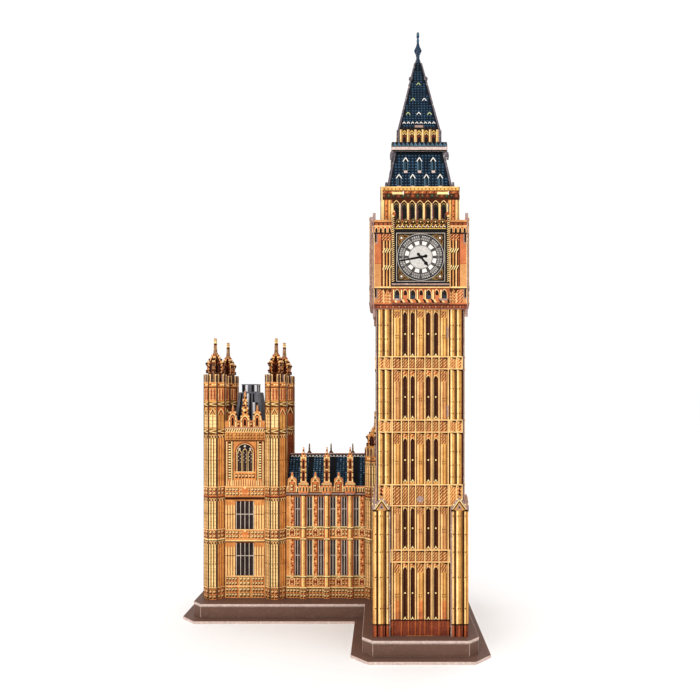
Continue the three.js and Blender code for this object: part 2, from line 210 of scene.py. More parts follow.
# ---------------------------------------------------------------- meshes
class Piece:
    """One visual piece: a board and its print, gathered as points, faces and the ink of each face."""

    def __init__(self, roundels=False):
        self.points, self.faces, self.inks = [], [], []
        self.roundels = roundels  # carved panels show roundels, not scrolls

    def board(self, node, face="gold", edge="edge", soften=0.14, thin=2.6):
        """Copies the CAD board, softens its edges and inks its faces; one narrower than thin is a cut edge."""
        bm = bmesh.new()
        bm.from_mesh(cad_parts[node].data)
        bmesh.ops.remove_doubles(bm, verts=bm.verts, dist=1e-6)
        bmesh.ops.dissolve_limit(bm, angle_limit=math.radians(1), verts=bm.verts, edges=bm.edges)
        layer = bm.faces.layers.int.new("cut")
        for f in bm.faces:
            longest = max(e.calc_length() for e in f.edges)
            f[layer] = 1 if f.calc_area() / longest < thin * MM else 0
        sharp = [e for e in bm.edges if len(e.link_faces) == 2 and e.calc_face_angle(0) > CUT_ANGLE]
        made = bmesh.ops.bevel(
            bm, geom=sharp, offset=soften * MM, segments=1, affect="EDGES", clamp_overlap=True
        )
        for f in made["faces"]:
            f[layer] = 1
        start = len(self.points)
        bm.verts.index_update()
        self.points += [v.co.copy() for v in bm.verts]
        for f in bm.faces:
            self.faces.append([start + v.index for v in f.verts])
            self.inks.append(edge if f[layer] else face)
        bm.free()
        return self

    def prism(self, at, outline, ink, top, foot=INK_FOOT):
        """A closed slab on a face: outline is in u and v, and at turns u, v, h into a place."""
        area = sum(a[0] * b[1] - b[0] * a[1] for a, b in zip(outline, outline[1:] + outline[:1]))
        if area < 0:
            outline = outline[::-1]
        n, start = len(outline), len(self.points)
        self.points += [at(u, v, top) for u, v in outline] + [at(u, v, foot) for u, v in outline]
        self.faces.append(list(range(start, start + n)))
        self.faces.append(list(range(start + 2 * n - 1, start + n - 1, -1)))
        for i in range(n):
            j = (i + 1) % n
            self.faces.append([start + n + i, start + n + j, start + j, start + i])
        self.inks += [ink] * (n + 2)

    def finish(self, name, *nodes, slot=None):
        used = sorted(set(self.inks))
        mesh = bpy.data.meshes.new(name)
        mesh.from_pydata(self.points, [], self.faces)
        for ink in used:
            mesh.materials.append(materials[ink])
        order = {ink: i for i, ink in enumerate(used)}
        mesh.polygons.foreach_set("material_index", [order[ink] for ink in self.inks])
        mesh.validate()
        mesh.update()
        piece = bpy.data.objects.new(name, mesh)
        bpy.context.scene.collection.objects.link(piece)
        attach(piece, "root")
        if nodes:
            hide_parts(*nodes)
        return piece


def circle(u, v, r, n):
    turn = [2 * math.pi * i / n for i in range(n)]
    return [(u + r * math.cos(a), v + r * math.sin(a)) for a in turn]


class Sheet:
    """The face of a board to draw on. Its u is 0 on the face's middle line.

    On an upright face v is the height above the base, and on a sloping one the distance up it.
    """

    def __init__(self, piece, origin, out, up=UP):
        self.piece, self.origin, self.out, self.up = piece, origin, out.normalized(), up.normalized()
        self.right = self.up.cross(self.out)

    def at(self, u, v, h):
        return self.origin + (self.right * u + self.up * v + self.out * h) * MM

    def poly(self, outline, ink, top):
        self.piece.prism(self.at, outline, ink, top)

    def rect(self, u0, u1, v0, v1, ink, top):
        u0, u1, v0, v1 = min(u0, u1), max(u0, u1), min(v0, v1), max(v0, v1)
        self.poly([(u0, v0), (u1, v0), (u1, v1), (u0, v1)], ink, top)

    def band(self, half, v0, v1, ink, top):
        self.rect(-half, half, v0, v1, ink, top)

    def line(self, a, b, width, ink, top):
        across = Vector((b[0] - a[0], b[1] - a[1])).orthogonal().normalized() * width / 2
        corners = [(a, 1), (b, 1), (b, -1), (a, -1)]
        self.poly([(p[0] + s * across[0], p[1] + s * across[1]) for p, s in corners], ink, top)

    def disc(self, u, v, r, ink, top, n=12):
        self.poly(circle(u, v, r, n), ink, top)

    def arch(self, u, v0, v1, width, ink, top):
        """An opening with a pointed head: each side of the head is an arc about the other side's foot."""
        half, end, steps = width / 2, math.acos(0.5), 3
        turn = [end * i / steps for i in range(steps + 1)]
        spring = v1 - width * math.sin(end)
        side = [(half - width + width * math.cos(a), spring + width * math.sin(a)) for a in turn]
        right = [(u + x, v) for x, v in side]
        left = [(u - x, v) for x, v in side[:-1]][::-1]
        self.poly([(u - half, v0), (u + half, v0), *right, *left], ink, top)

    def zigzag(self, u0, u1, v0, v1, n, width, ink, top):
        """n strokes from side to side, going up."""
        step = (v1 - v0) / n
        for i in range(n):
            a, b = (u0, u1) if i % 2 else (u1, u0)
            self.line((a, v0 + i * step), (b, v0 + (i + 1) * step), width, ink, top)

    def tracery(self, u0, u1, v0, v1, ground="rust", lines="pale", top=0.1):
        """A sunk panel of carved scrolls: each has a lit stroke, its shadow, and a deep eye."""
        u0, u1 = min(u0, u1), max(u0, u1)
        if self.piece.roundels:
            self.roundels(u0, u1, v0, v1, ground, lines, top)
            return
        cols = max(1, round((u1 - u0) / 2.3))
        rows = max(1, round((v1 - v0) / 2.5))
        self.rect(u0, u1, v0, v1, ground, top)
        w, h = (u1 - u0) / cols, (v1 - v0) / rows
        for i in range(cols):
            for j in range(rows):
                u, v = u0 + (i + 0.5) * w, v0 + (j + 0.5) * h
                self.line((u - w * 0.42, v - h * 0.3), (u - w * 0.02, v + h * 0.42), w * 0.15, lines, top + 0.1)
                foot, head = (u - w * 0.02, v - h * 0.42), (u + w * 0.36, v + h * 0.26)
                self.line(foot, head, w * 0.17, "brown", top + 0.06)
                self.disc(u + w * 0.34, v - h * 0.3, min(w, h) * 0.13, lines, top + 0.12, 6)
                self.disc(u - w * 0.3, v + h * 0.3, min(w, h) * 0.12, "dark", top + 0.12, 6)

    def roundels(self, u0, u1, v0, v1, ground, lines, top):
        """Square sunk panels, each holding a carved disc with a dark heart."""
        cols = max(1, round((u1 - u0) / 2.8))
        rows = max(1, round((v1 - v0) / 3.9))
        self.rect(u0, u1, v0, v1, ground, top)
        w, h = (u1 - u0) / cols, (v1 - v0) / rows
        size = min(w, h)
        for i in range(cols):
            for j in range(rows):
                u, v = u0 + (i + 0.5) * w, v0 + (j + 0.5) * h
                self.rect(u - w * 0.38, u + w * 0.4, v - h * 0.4, v + h * 0.36, "brown", top + 0.04)
                self.disc(u - 0.04 * w, v + 0.04 * h, size * 0.31, lines, top + 0.1, 8)
                self.disc(u + 0.06 * w, v - 0.04 * h, size * 0.14, "rust", top + 0.14, 6)
                self.rect(u - w * 0.5, u - w * 0.41, v - h * 0.5, v + h * 0.5, lines, top + 0.12)

    def beads(self, u0, u1, v, pitch, size, ink, top):
        n = max(1, round((u1 - u0) / pitch))
        for i in range(n):
            self.disc(u0 + (i + 0.5) * (u1 - u0) / n, v, size, ink, top, 8)


def knob(s, u, v, size, ink, thick=2.3):
    """A crocket: a round bump that stands out past the edge of a board, through its whole thickness."""
    s.piece.prism(s.at, circle(u, v, size, 8), ink, KNOB_PROUD, KNOB_PROUD - thick)


def face_of(piece, node, out):
    """The sheet on the outermost face of a board that faces out."""
    low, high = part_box(node)
    middle = (low + high) / 2
    half = (high - low) / 2
    origin = middle + Vector((out.x * half.x, out.y * half.y, 0))
    origin.z = 0
    return Sheet(piece, origin, out)


def width_of(node):
    low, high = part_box(node)
    return max(high.x - low.x, high.y - low.y) / MM


# ---------------------------------------------------------------- clock tower
STAGES = ((26.3, 63.6), (77.9, 106.6), (126.6, 157.4), (172.9, 203.1), (218.3, 249.6))
COURSES = ((67.7, 76.4), (108.7, 124.0), (162.4, 171.2), (208.5, 217.3))
SHAFT_FOOT, SHAFT_HEAD, RED_FOOT = 13.8, 251.9, 25.2
LIGHTS = (5.75, 11.2)  # middle of each lancet from the tower's middle line
RIBS = (3.4, 8.5, 13.7, 20.4)
COLUMNS = ((22.0, 25.9), (26.7, 30.6))
LANTERN_TALL = 11.2  # from the lantern tray to the foot of the spire's slope
SPIRE_TIP = 2.9  # half the width of a spire panel at its top


def column(s, u, foot, head, wide=3.9):
    """A clustered column: lit roll, body, shaded roll and the dark line beside it, left to right."""
    s.rect(u, u + wide, foot, head, "yellow", 0.34)
    s.rect(u + 0.05 * wide, u + 0.3 * wide, foot, head, "cream", 0.44)
    s.rect(u + 0.42 * wide, u + 0.5 * wide, foot, head, "olive", 0.4)
    s.rect(u + 0.66 * wide, u + 0.82 * wide, foot, head, "olive", 0.38)
    s.rect(u + 0.86 * wide, u + wide, foot, head, "brown", 0.38)


def lancet(s, u, low, high):
    """A blind window: pale frame, dark slot, a lit glazing bar, and white cusps at its foot and middle."""
    s.arch(u, low - 0.9, high + 1.1, 3.7, "pale", 0.12)
    s.arch(u + 0.15, low - 0.2, high + 0.5, 3.0, "brown", 0.15)
    s.arch(u + 0.1, low, high - 0.1, 2.3, "dark", 0.18)
    s.rect(u + 0.15, u + 0.75, low + 1, high - 2.0, "brown", 0.22)
    middle = (low + high) / 2
    s.disc(u + 0.1, middle, 0.6, "cream", 0.3, 6)
    s.poly([(u - 1.1, low - 0.7), (u + 1.3, low - 0.7), (u + 0.1, low + 1.5)], "cream", 0.3)
    s.rect(u - 0.5, u + 0.7, low - 0.8, low - 0.1, "dark", 0.34)


def stage_art(s, bottom, top, low, high, ground):
    """One storey of the shaft, from string course to string course, with its windows from low to high."""
    for u0, u1 in ((-2.7, 2.7), (14.6, 19.6), (-19.6, -14.6)):
        s.rect(u0, u1, bottom, top, ground, 0.05)
        if bottom == RED_FOOT:
            s.rect(u0, u1, bottom, bottom + 14, "orange", 0.07)
            s.rect(u0, u1, bottom, bottom + 6, "clay", 0.08)
        s.rect(u0 + 0.5, u0 + 1.4, bottom, high - 4, "pale", 0.1)
        s.rect(u0 + 2.1, u0 + 2.5, bottom, high - 4, "olive", 0.1)
        s.rect(u1 - 1.1, u1 - 0.2, bottom, high - 4, "olive", 0.1)
        s.tracery(u0 + 0.5, u1 - 0.5, high - 3.6, top - 1.5, "russet", "pale")
        for du in (-0.8, 0.8):
            for dv in (-0.9, 0.9):
                s.disc((u0 + u1) / 2 + du, (low + high) / 2 - 2 + dv, 0.42, "brown", 0.14, 6)
    for u in (-LIGHTS[1], -LIGHTS[0], *LIGHTS):
        s.tracery(u - 1.7, u + 1.7, high + 1.2, top - 1.5, "orange", "pale")
        lancet(s, u, low, high)


def cell(s, u0, u1, low, high):
    """One carved cell of a string course, hung under a dark hook where the cornice throws its shadow."""
    middle = (u0 + u1) / 2
    ground, top = ("amber", 0.48) if abs(middle) > COLUMNS[0][0] else ("russet", 0.12)
    s.tracery(u0 + 0.5, u1 - 0.5, low + 0.9, high - 1.3, ground, "pale", top)
    for v in (low, high):
        shadow = [(u0 + 0.3, v - 0.4), (u1 - 0.3, v - 0.4), (u1 - 0.4, v - 1.9), (middle, v - 1.2)]
        s.poly(shadow, "dark", top + 0.3)


def shaft_art(s):
    stops = [RED_FOOT] + [v for low, high in COURSES for v in (low, high)] + [SHAFT_HEAD]
    grounds = ("gold", "sand", "gold", "sand", "yellow")
    for k, (low, high) in enumerate(STAGES):
        stage_art(s, stops[2 * k], stops[2 * k + 1], low, high, grounds[k])
    for u in [sign * rib for rib in RIBS for sign in (-1, 1)]:
        s.rect(u - 0.45, u + 0.35, RED_FOOT, SHAFT_HEAD, "pale", 0.4)
        s.rect(u + 0.35, u + 1.1, RED_FOOT, SHAFT_HEAD, "brown", 0.14)
        s.rect(u - 0.9, u - 0.45, RED_FOOT, SHAFT_HEAD, "olive", 0.14)
    for side in (-1, 1):
        for near, far in COLUMNS:
            u = min(side * near, side * far)
            column(s, u, RED_FOOT, SHAFT_HEAD)
            for low, high in STAGES:
                for part in (0.1, 0.38, 0.7):
                    v = low + part * (high - low)
                    s.disc(u + 1.9, v, 0.5, "brown", 0.5, 6)
                    s.rect(u + 0.2, u + 0.7, v - 0.3, v + 0.3, "brown", 0.5)
        for u in (21.3, 26.3):
            s.rect(side * u - 0.55, side * u + 0.55, SHAFT_FOOT, SHAFT_HEAD, "dark", 0.08)
        s.rect(side * 30.7, side * 31.5, SHAFT_FOOT, SHAFT_HEAD, "dark", 0.1)
    edges = [-30.6, -26.3, -21.4, *(-r for r in RIBS[::-1]), *RIBS, 21.4, 26.3, 30.6]
    for low, high in COURSES:
        s.band(30.8, low, high, "rust", 0.06)
        for u0, u1 in zip(edges, edges[1:]):
            cell(s, u0, u1, low, high)
            s.rect(u1 - 0.45, u1 + 0.3, low, high, "pale", 0.56)
        for v in (low, high):
            s.band(30.8, v - 0.4, v + 0.35, "pale", 0.84)
    s.band(31.0, SHAFT_FOOT, RED_FOOT, "redstone", 0.08)
    s.band(31.0, RED_FOOT - 0.4, RED_FOOT + 0.4, "dark", 0.5)
    for u in [sign * rib for rib in RIBS for sign in (-1, 1)] + [-29, -24, 24, 29, 0]:
        s.rect(u - 0.6, u + 0.4, SHAFT_FOOT, RED_FOOT - 0.4, "rust", 0.3)
        s.rect(u + 0.4, u + 0.8, SHAFT_FOOT, RED_FOOT - 0.4, "brown", 0.12)
    s.tracery(-30, 30, SHAFT_FOOT + 6, RED_FOOT - 1.4, "redstone", "rust", 0.1)
    for v in (177.5, 235):  # ends of the inner frame's tabs
        s.rect(19.3, 20.5, v - 4.2, v + 4.2, "edge", 0.5)
    s.disc(0, 113.4, 2.4, "edge", 0.5, 16)
    for side in (-1, 1):  # printed finials over the corner piers
        for i in range(6):
            s.disc(side * 28.5, 117.0 + 1.35 * i, 0.95 - 0.08 * i, ("dark", "rust")[i % 2], 0.6, 6)


def pier_art(s, inward):
    """A corner pier's face. Its unprinted strip lies on the tower's side of it, the way inward points."""
    top = 105.4
    s.band(6.2, SHAFT_FOOT, top, "gold", 0.05)
    s.band(6.2, SHAFT_FOOT, RED_FOOT - 2, "redstone", 0.1)
    s.rect(inward * 5.3, inward * 6.2, SHAFT_FOOT, top, "edge", 0.12)
    for u in (-4.4, 4.4):
        s.rect(u - 0.85, u + 0.85, RED_FOOT - 2, top, "yellow", 0.34)
        s.rect(u - 0.55, u, RED_FOOT - 2, top, "cream", 0.44)
        s.rect(u + 0.45, u + 0.85, RED_FOOT - 2, top, "olive", 0.4)
    column(s, -2.3, RED_FOOT - 2, top, 4.6)
    for u in (-3.0, 3.0):
        s.rect(u - 0.5, u + 0.5, SHAFT_FOOT, top, "dark", 0.1)
    for v in (34.4, 57.0, 75.4, 88.2, 101.5):
        for u in (-4.4, -0.9, 0.9, 4.4):
            s.disc(u, v, 0.5, "brown", 0.5, 6)
    for u in (-4.4, 0, 4.4):
        s.rect(u - 0.9, u + 0.7, SHAFT_FOOT, RED_FOOT - 2.6, "rust", 0.3)
        s.rect(u + 0.7, u + 1.3, SHAFT_FOOT, RED_FOOT - 2.6, "dark", 0.2)
    s.band(6.0, RED_FOOT - 3.0, RED_FOOT - 2.2, "dark", 0.5)
    # crocketed gable: an open pointed frame with a carved heart and a spur at each side
    s.rect(-6.1, -2.6, top - 0.6, top + 0.3, "dark", 0.45)
    s.rect(2.6, 6.1, top - 0.6, top + 0.3, "dark", 0.45)
    for side in (-1, 1):
        s.line((side * 5.9, top + 1.0), (side * 0.3, 114.4), 1.1, "edge", 0.62)
        s.line((side * 5.0, top + 1.0), (side * 0.2, 113.2), 0.45, "cream", 0.66)
        s.line((side * 4.1, top + 0.9), (side * 0.2, 111.9), 0.6, "dark", 0.56)
        for i in range(4):
            s.disc(side * (5.6 - 1.35 * i), top + 2.4 + 2.0 * i, 0.62, ("edge", "cream")[i % 2], 0.68, 6)
        s.disc(side * 5.2, top + 0.5, 0.9, "dark", 0.6, 6)
    s.poly([(-2.2, top + 0.6), (0, top + 5.2), (2.2, top + 0.6), (0, top + 1.5)], "edge", 0.6)
    s.disc(0, top + 2.6, 0.7, "dark", 0.66, 6)


def clock_wall_art(s):
    """The clock stage beside and behind the dial: clustered shafts, two rope collars, and carved bands."""
    low, ledge, lintel, head, edge = 256.0, 267.5, 306.6, 316.5, 33.6
    shafts = (21.9, 24.1, 26.3)
    s.band(edge, low, head, "clay", 0.04)
    for side in (-1, 1):
        s.rect(side * 20.9, side * 28.2, low, lintel, "rust", 0.06)
        s.rect(side * 28.2, side * edge, 285, lintel, "clay", 0.08)
        s.rect(side * 28.2, side * edge, low, 285, "sand", 0.08)
        s.rect(side * (edge - 0.4), side * edge, low, lintel, "pale", 0.2)
        for i, u in enumerate(shafts):
            u *= side
            s.rect(u - 0.8, u, low, lintel, ("pale", "gold", "pale")[i], 0.4)
            s.rect(u + 0.3, u + 1.0, low, lintel, "dark", 0.12)
            s.rect(u - 1.2, u - 0.8, low, lintel, "brown", 0.12)
        s.rect(side * 27.9, side * 28.6, low, lintel, "brown", 0.2)
        for v in (282.0, 294.4):
            for i in range(4):
                u = side * 21.8 + side * 1.6 * i
                s.line((u - 0.9, v - 1.6), (u + 0.9, v + 1.6), 0.6, "cream", 0.5)
                s.line((u + 0.1, v - 1.8), (u + 1.7, v + 1.3), 0.7, "dark", 0.46)
        for v in (259.5, 299.5):
            s.rect(side * 31.2, side * 33.2, v, v + 8, "edge", 0.34)
            s.rect(side * 31.9, side * 33.2, v + 0.8, v + 7.4, "dark", 0.38)
        s.tracery(side * 21.0, side * 28.0, 301.6, lintel - 0.4, "rust", "pale", 0.44)
        s.tracery(side * 21.0, side * 30.8, low + 0.4, ledge - 2.0, "clay", "pale", 0.3)
        for u in (side * 22.4, side * 25.6):
            s.poly([(u - 1.6, ledge - 1), (u + 1.6, ledge - 1), (u, ledge - 4.4)], "brown", 0.56)
        for u in (22.4, 25.6, 28.8, 32.0):
            s.arch(side * u, lintel + 0.8, lintel + 5.0, 2.6, "pale", 0.5)
            s.arch(side * u, lintel + 0.8, lintel + 4.2, 1.7, "dark", 0.56)
            s.rect(side * u - 1.8, side * u - 1.2, head - 4.4, head - 1.6, "dark", 0.5)
    s.band(edge, ledge - 0.5, ledge + 0.6, "pale", 0.6)
    s.band(edge, ledge - 1.3, ledge - 0.5, "dark", 0.5)
    s.band(edge, 284.6, 285.1, "rust", 0.1)
    s.band(edge, lintel - 0.2, lintel + 0.6, "dark", 0.54)
    s.band(edge, lintel + 5.0, lintel + 5.8, "pale", 0.6)
    s.band(edge, lintel + 5.8, head - 1.7, "rust", 0.3)
    s.band(edge, head - 1.6, head, "sand", 0.5)
    s.band(edge, head - 2.1, head - 1.6, "brown", 0.56)
    s.band(edge, 252.2, 255.2, "redstone", 0.5)
    s.band(edge, 255.2, 256.2, "clay", 0.6)
    s.band(edge, 254.4, 255.2, "dark", 0.56)
    s.beads(-33, 33, 253.4, 4.4, 0.6, "rust", 0.66)
    s.beads(-31, 31, 253.4, 4.4, 0.3, "cream", 0.7)


def ring(s, u, v, outer, inner, ink, top, n=48):
    """A flat ring in eight parts, so that each stays a simple outline."""
    for part in range(8):
        turn = [2 * math.pi * (part / 8 + i / n) for i in range(n // 8 + 1)]
        rim = [(u + outer * math.cos(a), v + outer * math.sin(a)) for a in turn]
        hole = [(u + inner * math.cos(a), v + inner * math.sin(a)) for a in turn[::-1]]
        s.poly(rim + hole, ink, top)


def wedge(s, u, v, inner, outer, angle, half, ink, top):
    corners = [(inner, -half), (outer, -half), (outer, half), (inner, half)]
    s.poly([(u + r * math.sin(angle + d), v + r * math.cos(angle + d)) for r, d in corners], ink, top)


def hand(s, u, v, angle, outline, ink, top):
    """A clock hand: outline is (distance along it, half width), and angle is clockwise from twelve."""
    along = Vector((math.sin(angle), math.cos(angle)))
    across = Vector((along.y, -along.x))
    right = [Vector((u, v)) + along * d + across * w for d, w in outline]
    left = [Vector((u, v)) + along * d - across * w for d, w in outline[::-1]]
    s.poly([tuple(p) for p in right + left], ink, top)


def dial_art(s):
    middle, half = 289.0, 17.6
    s.band(20.8, 267, 310, "black", 0.08)
    for side in (-1, 1):
        s.rect(side * 18.7, side * 20.8, 267, 319.8, "pale", 0.3)
        for i in range(34):
            v = 268 + 1.5 * i
            s.line((side * 19.7 - 0.9, v - 0.45), (side * 19.7 + 0.9, v + 0.5), 0.75, "black", 0.4)
            s.disc(side * 19.7, v + 0.75, 0.3, "cream", 0.42, 6)
        s.rect(side * 18.3, side * 19.0, 267, 319, "black", 0.42)
        s.disc(side * 19.2, 320.4, 1.2, "rust", 0.5, 8)
        s.disc(side * 19.2, 322, 0.6, "pale", 0.55, 6)
    # spandrels
    s.band(half, middle - half, middle + half, "lead_bar", 0.2)
    s.band(17.2, middle - 17.2, middle + 17.2, "black", 0.26)
    s.band(16.3, middle - 16.3, middle + 16.3, "bronze", 0.3)
    for su in (-1, 1):
        for sv in (-1, 1):
            u, v = su * 13.9, middle + sv * 13.9
            at = lambda x, y: (u + su * x, v + sv * y)  # from the badge's middle towards the dial's corner
            s.poly([at(-4.4, 1.9), at(1.9, 1.9), at(1.9, -4.4)], "brown", 0.33)
            ring(s, u, v, 1.9, 1.4, "old_gold", 0.36, 24)
            s.disc(u, v, 0.75, "white", 0.42, 8)
            for foot in (-0.2, 2.2):
                s.line(at(-1.8, foot), at(-6.0, 1.5), 0.45, "old_gold", 0.38)
                s.line(at(foot, -1.8), at(1.5, -6.0), 0.45, "old_gold", 0.38)
    s.disc(0, middle, 17.0, "dial_tick", 0.5, 64)
    s.disc(0, middle, 16.5, "black", 0.54, 64)
    s.disc(0, middle, 15.6, "dial_mid", 0.58, 64)
    for minute in range(60):
        angle = math.radians(6 * minute)
        wedge(s, 0, middle, 14.1, 15.5, angle, 0.032, "dial_tick", 0.62)
        wedge(s, 0, middle, 12.3, 13.6, angle + 0.05, 0.034, "dial_tick", 0.62)
    s.disc(0, middle, 12.0, "dial_line", 0.66, 48)
    for hour in range(12):
        wedge(s, 0, middle, 9.0, 11.6, math.radians(30 * hour + 15), 0.175, "white", 0.7)
        wedge(s, 0, middle, 12.2, 15.4, math.radians(30 * hour), 0.035, "dial_line", 0.66)
        for turn in (-4.4, 0, 4.4):
            wedge(s, 0, middle, 9.0, 11.6, math.radians(30 * hour + turn), 0.026, "dial_mid", 0.7)
    s.disc(0, middle, 8.7, "dial_grey", 0.72, 40)
    s.disc(0, middle, 8.1, "dial_white", 0.76, 40)
    # the printed hands show about 4.43
    minute = math.radians(259.5)
    hand(s, 0, middle, minute, [(-3.2, 0.7), (0, 0.85), (9, 0.68), (16, 0.36)], "black", 0.86)
    s.disc(-3.7 * math.sin(minute), middle - 3.7 * math.cos(minute), 1.25, "black", 0.86)
    hour = math.radians(140)
    hand(s, 0, middle, hour, [(-2.3, 0.5), (0, 0.8), (4.6, 0.72), (5.6, 1.5), (8.6, 0.15)], "black", 0.82)
    s.disc(-2.6 * math.sin(hour), middle - 2.6 * math.cos(hour), 1.2, "black", 0.82)
    s.disc(0, middle, 1.3, "black", 0.9)
    # lace rail over the dial
    s.band(18.6, 309.4, 315.8, "brown", 0.2)
    s.band(18.6, 309.4, 310.0, "gilt", 0.4)
    s.band(18.6, 312.8, 313.6, "gold", 0.4)
    for i in range(12):
        u = -16.5 + 3.0 * i
        s.line((u - 1.1, 310.5), (u + 0.6, 312.5), 0.7, ("gilt", "pale")[i % 2], 0.46)
        s.disc(u + 1.0, 311.1, 0.45, "white", 0.5, 6)
    for i in range(7):
        u = -15.9 + 5.3 * i
        s.arch(u, 313.8, 317.0, 4.7, "old_gold", 0.4)
        s.arch(u, 313.8, 316.2, 3.4, "dark", 0.46)
        s.disc(u, 314.6, 0.6, "pale", 0.5, 6)
        s.disc(u + 2.65, 315.3, 0.7, "rust", 0.5, 8)
    # sill, arcade and corbels under the dial
    s.band(20.8, 270.0, 271.2, "black", 0.5)
    s.band(20.8, 268.8, 270.0, "edge", 0.6)
    s.band(20.8, 267.6, 268.8, "dark", 0.5)
    s.band(20.8, 266.8, 267.6, "pale", 0.6)
    s.band(20.8, 256.0, 266.4, "rust", 0.12)
    for i in range(7):
        u = -17.1 + 5.7 * i
        s.arch(u, 258.6, 266.2, 4.6, "pale", 0.2)
        s.arch(u, 258.6, 265.6, 3.7, "blueglass" if i % 2 == 0 else "clay", 0.26)
        s.arch(u + 0.4, 261.5, 265.2, 2.4, "dark", 0.3)
        s.rect(u - 2.9, u - 2.0, 258.2, 265.4, "cream", 0.5)
        s.rect(u - 2.0, u - 1.5, 258.2, 265.0, "brown", 0.46)
        s.poly([(u - 2.6, 258.6), (u + 1.4, 258.6), (u + 2.6, 256.2), (u - 1.4, 256.2)], "clay", 0.5)
        s.poly([(u - 2.4, 258.6), (u - 1.0, 258.6), (u + 0.2, 256.2), (u - 1.2, 256.2)], "pale", 0.56)
        s.poly([(u + 1.5, 258.8), (u + 2.9, 258.8), (u + 4.0, 256.2), (u + 2.7, 256.2)], "dark", 0.44)
    for u in (-16.5, 16.5):
        s.rect(u - 2.9, u + 2.9, 257.7, 259.1, "edge", 0.7)


def belfry_art(s):
    half, foot, spring, frieze, band, head = 28.4, 317.0, 332.8, 333.6, 337.6, 342.6
    s.band(20.6, foot, spring + 0.1, "brown", 0.1)
    for i in range(7):
        u = -17.4 + 5.8 * i
        s.arch(u, foot, spring, 5.5, "pale", 0.2)
        s.arch(u, foot, spring - 0.7, 4.8, "dark", 0.26)
        s.arch(u, foot, spring - 2.2, 4.5, "old_gold", 0.3)
        s.arch(u, foot, spring - 2.9, 4.3, "black", 0.36)
        s.rect(u - 1.7, u - 1.3, foot, spring - 7, "redstone", 0.4)
        for side in (-1, 1):
            s.line((u - side * 1.9, spring - 6.4), (u, spring - 4.2), 0.5, "bronze", 0.42)
    for i in range(8):
        u = -20.3 + 5.8 * i
        s.rect(u - 0.9, u + 0.7, foot, spring - 2.5, ("pale", "edge")[i % 2], 0.6)
        s.rect(u - 0.7, u - 0.1, foot, spring - 2.5, "cream", 0.66)
        s.rect(u + 0.7, u + 1.1, foot, spring - 2.5, "dark", 0.5)
    for side in (-1, 1):
        for k, u in enumerate((22.3, 24.6, 27.0)):
            s.rect(side * u - 0.8, side * u + 0.6, foot, spring, ("yellow", "orange", "pale")[k], 0.4)
            s.rect(side * u + 0.6, side * u + 1.1, foot, spring, "brown", 0.16)
        for v in (320.5, 324.5, 328.5):
            s.disc(side * 24.6, v, 0.5, "dark", 0.5, 6)
    s.band(half, spring + 0.1, frieze, "brown", 0.5)
    s.band(half, frieze, band, "dark", 0.3)
    for i in range(16):
        u = -26.6 + 3.55 * i
        s.disc(u, (frieze + band) / 2 + 0.3, 1.5, ("redstone", "green", "bronze")[i % 3], 0.4, 8)
        s.arch(u + 1.8, frieze + 0.3, band - 0.4, 1.3, "brown", 0.42)
        s.disc(u, (frieze + band) / 2 + 0.5, 0.4, "old_gold", 0.46, 6)
    s.band(half, band, band + 2.3, "rust", 0.4)
    for i in range(20):
        u = -27 + 2.84 * i
        s.line((u, band + 0.2), (u + 1.0, band + 1.5), 0.6, ("gold", "dark")[i % 2], 0.46)
    s.band(half, band + 2.0, head, "yellow", 0.5)
    s.band(half, band + 1.7, band + 2.2, "brown", 0.56)
    s.beads(-27.6, 27.6, band + 3.2, 2.8, 0.5, "brown", 0.6)
    s.band(half, head - 0.7, head, "pale", 0.6)
    for u in (-16.5, 16.5):
        s.rect(u - 3.9, u + 3.9, 336.9, 338.6, "cream", 0.7)
        s.rect(u + 3.9, u + 4.6, 336.6, 339.2, "white", 0.74)
    s.rect(-half, -half + 0.8, foot, head, "cream", 0.66)


def slates(s, half_at, v0, v1, pitch=2.5, row=2.3):
    """A lattice of slates from v0 to v1, each with a lit corner; half_at gives half the width at a height."""
    rows = int((v1 - v0) / row)
    w, h = pitch * 0.4, row * 0.38
    for j in range(rows):
        v = v0 + (j + 0.5) * (v1 - v0) / rows
        half = half_at(v) - 1.5
        n = int(half / pitch)
        for i in range(-n, n + 1):
            u = i * pitch
            if abs(u) > half - pitch * 0.4:
                continue
            foot = [(u - w * 0.8, v - h), (u + w * 0.8, v - h)]
            head = [(u + w, v + h * 0.2), (u, v + h), (u - w, v + h * 0.2)]
            s.poly(foot + head, dice.choice(("slate_a", "slate_a", "slate_c")), 0.16)
            s.rect(u - w * 0.7, u + w * 0.1, v - h * 0.2, v + h * 0.5, "slate_b", 0.2)


def slope_of(piece, node, out, lean):
    """A sheet on a leaning panel, with v 0 at its lower edge; lean is how far it goes in for each step up."""
    low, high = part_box(node)
    middle = (low + high) / 2
    half = (high - low) / 2
    origin = Vector((middle.x * abs(out.y) + (middle.x + out.x * half.x) * abs(out.x), 0, low.z))
    origin.y = middle.y * abs(out.x) + (middle.y + out.y * half.y) * abs(out.y)
    up = (UP - out * lean).normalized()
    return Sheet(piece, origin, (out + UP * lean).normalized(), up)


def dormer(s, u, v, tall):
    s.arch(u, v, v + tall, 3.4, "slate_shade", 0.3)
    s.rect(u - 0.8, u + 0.8, v + 0.6, v + tall - 3.4, "slate_b", 0.4)
    s.rect(u - 0.2, u + 0.7, v + 0.6, v + tall - 3.4, "slate_shade", 0.46)
    for side in (-1, 1):
        s.line((u + side * 1.9, v + tall - 3.4), (u, v + tall - 0.2), 0.65, "white", 0.6)
        s.line((u + side * 1.6, v + 0.4), (u + side * 1.5, v + tall - 3.2), 0.4, "slate_light", 0.5)
    s.rect(u - 1.3, u + 1.3, v - 1.4, v + 0.4, "base_edge", 0.5)


